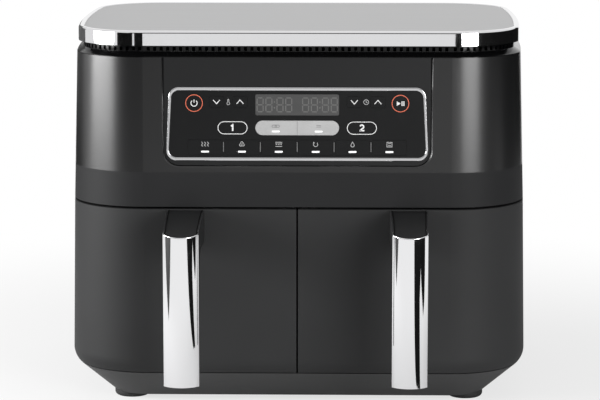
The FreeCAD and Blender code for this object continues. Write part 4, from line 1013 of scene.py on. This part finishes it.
# %% Seven-segment digits
DIGIT_WIDTH = 4.9
DIGIT_HEIGHT = 11.4
SEGMENT = 0.9
SEGMENT_GAP = 0.55
DIGIT_PLACES = (6.9, 14.05, 23.1, 30.3)
COLON_RISE = 2.4
COLON_RADIUS = 0.6


def digit_bars(x):
    """The seven bars of a digit centred at x, each as a pair of end points."""
    left = x - DIGIT_WIDTH / 2
    right = x + DIGIT_WIDTH / 2
    half = DIGIT_HEIGHT / 2
    gap = SEGMENT_GAP
    level = [((left + gap, z), (right - gap, z)) for z in (-half, 0, half)]
    upright = [((side, low + gap), (side, low + half - gap)) for side in (left, right) for low in (-half, 0)]
    return level + upright


def digits_mark(shape):
    for side in (-1, 1):
        for place in DIGIT_PLACES:
            for start, end in digit_bars(side * place):
                add_ribbon(shape, [start, end], SEGMENT)
        colon_x = side * (DIGIT_PLACES[1] + DIGIT_PLACES[2]) / 2
        for z in (-COLON_RISE, COLON_RISE):
            add_plate(shape, ring_path(COLON_RADIUS, steps=12, centre=(colon_x, z)))


window_x, window_z, window_y = face_of("display_window")
inlay("unlit_digits", digits_mark, window_x, window_z, window_y, faint_ink, "body")
print("digits in the window")

# %% [markdown]
# ## The edge of the handles' caps
# A thin bright bead runs round the cap on top of each handle, and inside it a near-black strip paints the
# shade that falls in the groove round the cap. Both follow the cap's edge: a path that comes forward along
# one side of the cap, goes round its nose and back along the other side. The path lies on the handle's top,
# which falls towards the nose in a shallow arc.


# %% A path round a cap
NOSE_RADIUS = 18.0
HANDLE_RUN = 71.0
HANDLE_FALL = 11.0
HANDLE_CREST = 2.6
ROOT_SPREAD = 1.15
SIDE_START = 7.6
SIDE_LENGTH = 65.0
NOSE_STEPS = 12
SIDE_STEPS = 8


def handle_top(run):
    """The height of a handle's top over its root, at a run in millimetres back from the nose."""
    share = min(1.0, run / HANDLE_RUN)
    return 4 * HANDLE_CREST * share * (1 - share) - HANDLE_FALL * (1 - share)


def cap_path(half, inset):
    """Points round the cap in millimetres, from the nose and the root's height, drawn in by an inset."""
    reach = math.asin(half / NOSE_RADIUS)
    radius = NOSE_RADIUS - inset
    turns = [reach * i / NOSE_STEPS for i in range(-NOSE_STEPS, NOSE_STEPS + 1)]
    nose = [(radius * math.sin(t), NOSE_RADIUS - radius * math.cos(t)) for t in turns]
    shares = [i / SIDE_STEPS for i in range(1, SIDE_STEPS + 1)]
    right = [(half + ROOT_SPREAD * share - inset, SIDE_START + SIDE_LENGTH * share) for share in shares]
    left = [(-x, run) for x, run in reversed(right)]
    return [Vector((x, run, handle_top(run))) for x, run in left + nose + right]


print("a cap's path reaches back", SIDE_START + SIDE_LENGTH, "mm from the nose")

# %% [markdown]
# ## The handles' beads and the painted shade of their grooves
# A bevel on the trim would not follow the cap's sides, so the bead is its own round strip: rings of corners
# along the cap's path, half sunk so that it shows as a half round. A thinner near-black strip inside it
# paints the shade in the groove.


# %% Beads and grooves
BEAD_RADIUS = 0.6
GROOVE_RADIUS = 0.4
GROOVE_INSET = 1.9


def add_bead(shape, path, radius, sides=10):
    """A round strip along a path: a ring of corners at each point, and a closed end at both ends."""
    rings = []
    for i, here in enumerate(path):
        along = (path[min(len(path) - 1, i + 1)] - path[max(0, i - 1)]).normalized()
        across = along.cross(Vector((0, 0, 1))).normalized()
        upward = across.cross(along)
        turns = [2 * math.pi * k / sides for k in range(sides)]
        ring = [here + (across * math.cos(t) + upward * math.sin(t)) * radius for t in turns]
        rings.append([shape.verts.new(corner * MM) for corner in ring])
    for first, second in zip(rings, rings[1:]):
        for k in range(sides):
            j = (k + 1) % sides
            shape.faces.new((first[k], first[j], second[j], second[k]))
    shape.faces.new(rings[0])
    shape.faces.new(rings[-1])


# Painted shade: a near-black finish for the strip that stands for the shade in the groove round each cap.
painted_groove_shade = moulded_plastic("painted_groove_shade", (0.0015, 0.0015, 0.0016), 0.55, shine=0.1)
for side in SIDE_NAMES:
    nose_low, nose_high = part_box(f"handle_trim_{side}")
    root_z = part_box(f"handle_core_{side}")[1].z
    half = (nose_high.x - nose_low.x) / 2 / MM
    middle = (nose_high.x + nose_low.x) / 2
    bead = cap_path(half, BEAD_RADIUS)
    # The inner strip is painted groove shade; the bead is a real chrome strip.
    groove = cap_path(half, GROOVE_INSET)
    for name, strip, radius, finish, slot in (
            ("bead", bead, BEAD_RADIUS, bright_chrome, "handle_chrome"),
            ("groove", groove, GROOVE_RADIUS, painted_groove_shade, "handle_plastic")):
        piece = inlay(f"handle_{name}_{side}", lambda shape: add_bead(shape, strip, radius), middle, root_z,
                      nose_low.y, finish, f"drawer_{side}")
        for polygon in piece.data.polygons:
            polygon.use_smooth = True
print("beads and grooves on the handles")

# %% [markdown]
# ## The studio's floor
# The floor is a pale sheet. Near the fryer the camera sees a weak shadow on it, and further out it fades to
# plain white, as in a catalogue picture. More lamps could do that too, but they would also light the fryer,
# so the floor glows instead, and only where the camera or a mirror sees it.


# %% Floor
FLOOR_HALF = 5.0
NEAR_GLOW = 0.70
NEAR_REACH = 0.30
FAR_REACH = 0.80
FLOOR_TONES = (0.93, 0.95)


def pale_sheet():
    """The floor's finish: matt, with a glow that grows with the distance from the fryer."""
    material, tree, shader = new_finish("pale_sheet", (FLOOR_TONES[0],) * 3, 0.9)
    shader.inputs["Specular IOR Level"].default_value = 0.0
    grain = use_group(tree, grain_group, Grain_Scale=400.0, Drift_Scale=1.0)
    tone = spread(tree, grain.outputs["Drift"], (0.9, 1.1), FLOOR_TONES)
    tree.links.new(tone, shader.inputs["Base Color"])
    reach = add_node(tree, "ShaderNodeVectorMath", {0: place_of(tree)}, operation="LENGTH").outputs["Value"]
    fade = spread(tree, reach, (NEAR_REACH, FAR_REACH), interpolation_type="SMOOTHSTEP")
    sight = add_node(tree, "ShaderNodeLightPath").outputs
    direct = maths(tree, "MULTIPLY", sight["Is Camera Ray"], spread(tree, fade, onto=(NEAR_GLOW, 1)))
    mirrored = maths(tree, "MULTIPLY", sight["Is Glossy Ray"], fade)
    share = maths(tree, "MAXIMUM", direct, mirrored)
    glow = add_node(tree, "ShaderNodeEmission")
    blend = add_node(tree, "ShaderNodeMixShader",
                     {"Fac": share, 1: shader.outputs["BSDF"], 2: glow.outputs["Emission"]})
    tree.links.new(blend.outputs["Shader"], tree.nodes["Material Output"].inputs["Surface"])
    return material


def stage_sheet(name, corners, finish, faces=None):
    """A thin sheet that belongs to the studio and not to the fryer."""
    mesh = bpy.data.meshes.new(name)
    mesh.from_pydata(corners, [], faces or [tuple(range(len(corners)))])
    mesh.materials.append(finish)
    sheet = new_object(name, mesh)
    return sheet


square = ((-1, -1), (1, -1), (1, 1), (-1, 1))
stage_sheet("floor", [(x * FLOOR_HALF, y * FLOOR_HALF, 0) for x, y in square], pale_sheet())
print("floor", 2 * FLOOR_HALF, "m wide")

# %% [markdown]
# ## The studio's world
# The world stands for the white walls of the studio. It is white where the camera or a mirror sees it, and
# dimmer as a light, so that the lamps still draw the shapes.

# %% World
ROOM_LIGHT = 0.40
world = bpy.data.worlds.new("studio_world")
world.use_nodes = True
bpy.context.scene.world = world
world_tree = world.node_tree
background = world_tree.nodes["Background"]
sight = add_node(world_tree, "ShaderNodeLightPath").outputs
seen = maths(world_tree, "MAXIMUM", sight["Is Camera Ray"], sight["Is Glossy Ray"])
seen = maths(world_tree, "MAXIMUM", seen, sight["Is Transmission Ray"])
strength = spread(world_tree, seen, onto=(ROOM_LIGHT, 1))
background.inputs["Color"].default_value = (1, 1, 1, 1)
world_tree.links.new(strength, background.inputs["Strength"])
print("world with a room light of", ROOM_LIGHT)

# %% [markdown]
# ## The lamps
# Two soft boxes light the fryer: a wide one on the left, which draws the bright band on the left corner, and
# one in front on the right for the weaker band there. Small spots could light the shells too, but a mirror
# shows the shape of its lamp, and the bright blocks on the rim have straight upright edges.


# %% Lamps
def soft_box(name, place, target, width, height, power):
    """A soft box: a rectangular lamp that looks from a place towards a target."""
    data = bpy.data.lights.new(name, "AREA")
    data.shape = "RECTANGLE"
    data.size = width
    data.size_y = height
    data.energy = power
    lamp = new_object(name, data)
    lamp.location = place
    lamp.rotation_euler = (Vector(target) - Vector(place)).to_track_quat("-Z", "Y").to_euler()


soft_box("left_box", (-1.585, -0.46, 0.45), (-0.15, -0.06, 0.40), width=1.20, height=0.60, power=39)
soft_box("right_box", (1.19, -1.75, 0.50), (0.13, -0.05, 0.44), width=1.02, height=0.85, power=31)
print("two soft boxes")

# %% [markdown]
# ## Cards for the mirrors
# A mirror in an all-white room would be plain white, so the rim and the handles get dark bands from cards
# that only mirrors see. A photographer does the same with black card just out of the picture. The paper comes
# in three tones.


# %% Card paper
def card_paper(name, tone):
    """Matt card. It has the grain of paper, which a mirror still shows a little."""
    return moulded_plastic(name, (tone, tone, tone), 0.9, shine=0.0, grain_scale=300.0)


def mirror_card(name, corners, finish, faces=None):
    """A studio sheet that the camera and soft light don't see, and that throws no shadow."""
    card = stage_sheet(name, corners, finish, faces)
    card.visible_camera = False
    card.visible_diffuse = False
    card.visible_shadow = False


black = card_paper("card_black", 0.010)
grey = card_paper("card_grey", 0.16)
dim = card_paper("card_dim", 0.06)
print("papers", [paper.name for paper in (black, grey, dim)])

# %% [markdown]
# ## Upright cards
# Each turn of a rounded corner mirrors one direction, so a card in that direction gives a band on the rim.
# These cards are bent round the two front corners, and two turns say where a band starts and ends. One large
# flat card stands behind the camera.


# %% Upright cards
CARD_REACH = 2.0
CARD_STEP = 4
CARD_LOW = 0.02
CARD_HIGH = 0.95
CORNER_PLACE = (0.126, -0.042)
FRONT_CARD_Y = -2.9
FRONT_CARD_HALF = 1.6
FRONT_CARD_SPAN = (0.28, 2.0)
LEFT = -1
RIGHT = 1


def round_card(name, side, first, last, finish):
    """An upright card bent round one front corner, between two turns in degrees from the camera's side."""
    count = max(1, round(abs(last - first) / CARD_STEP))
    turns = [math.radians(first + (last - first) * i / count) for i in range(count + 1)]
    corner_x, corner_y = CORNER_PLACE
    foot = [(side * (corner_x + CARD_REACH * math.sin(t)), corner_y - CARD_REACH * math.cos(t))
            for t in turns]
    corners = [(x, y, CARD_LOW) for x, y in foot] + [(x, y, CARD_HIGH) for x, y in foot]
    faces = [(i, i + 1, i + count + 2, i + count + 1) for i in range(count)]
    mirror_card(name, corners, finish, faces)


round_card("left_thin_card", LEFT, 6, 18, black)
round_card("left_card", LEFT, 21, 47, black)
round_card("left_back_card", LEFT, 122, 170, grey)
round_card("right_thin_card", RIGHT, 9, 18, black)
round_card("right_card", RIGHT, 45, 112, black)
round_card("right_back_card", RIGHT, 112, 156, black)
front_low, front_high = FRONT_CARD_SPAN
front = [(-FRONT_CARD_HALF, FRONT_CARD_Y, front_low), (FRONT_CARD_HALF, FRONT_CARD_Y, front_low),
         (FRONT_CARD_HALF, FRONT_CARD_Y, front_high), (-FRONT_CARD_HALF, FRONT_CARD_Y, front_high)]
mirror_card("front_card", front, black)
print("upright cards")

# %% [markdown]
# ## Cards on the floor
# The handles' trims look down at the floor, so flat cards just over it draw the slanting bands on them. They
# also darken the right edge of the housing. Paint on the floor would do it too, but the camera would see it.


# %% Cards on the floor
FLOOR_CARD_Z = 0.0005


def floor_card(name, corners, finish):
    """A card that lies just above the floor."""
    mirror_card(name, [(x, y, FLOOR_CARD_Z) for x, y in corners], finish)


right_wedge = [(0.19, -0.31), (0.47, -1.25), (1.20, -1.00), (1.30, -0.50), (1.00, -0.29), (0.79, -0.265),
               (0.625, -0.27), (0.53, -0.31), (0.59, -0.40), (0.68, -0.57), (0.52, -0.51), (0.35, -0.36),
               (0.22, -0.25)]
floor_card("right_wedge", right_wedge, black)
floor_card("left_wedge", [(-0.50, -0.33), (-0.95, -0.85), (-1.35, -0.45), (-1.30, -0.10)], dim)
right_floor = [(1.00, 0.02), (2.20, -0.10), (2.80, 2.40), (0.95, 2.40), (0.66, 1.10), (1.00, 0.50)]
floor_card("right_floor", right_floor, black)
left_front = [(-0.40, -2.60), (-0.40, -1.45), (-1.20, -1.30), (-1.75, -2.05), (-1.45, -2.60)]
floor_card("left_front_floor", left_front, black)
floor_card("left_floor", [(-0.60, 0.30), (-2.2, 0.60), (-2.2, 2.5), (-0.60, 2.5)], black)
print("cards on the floor")
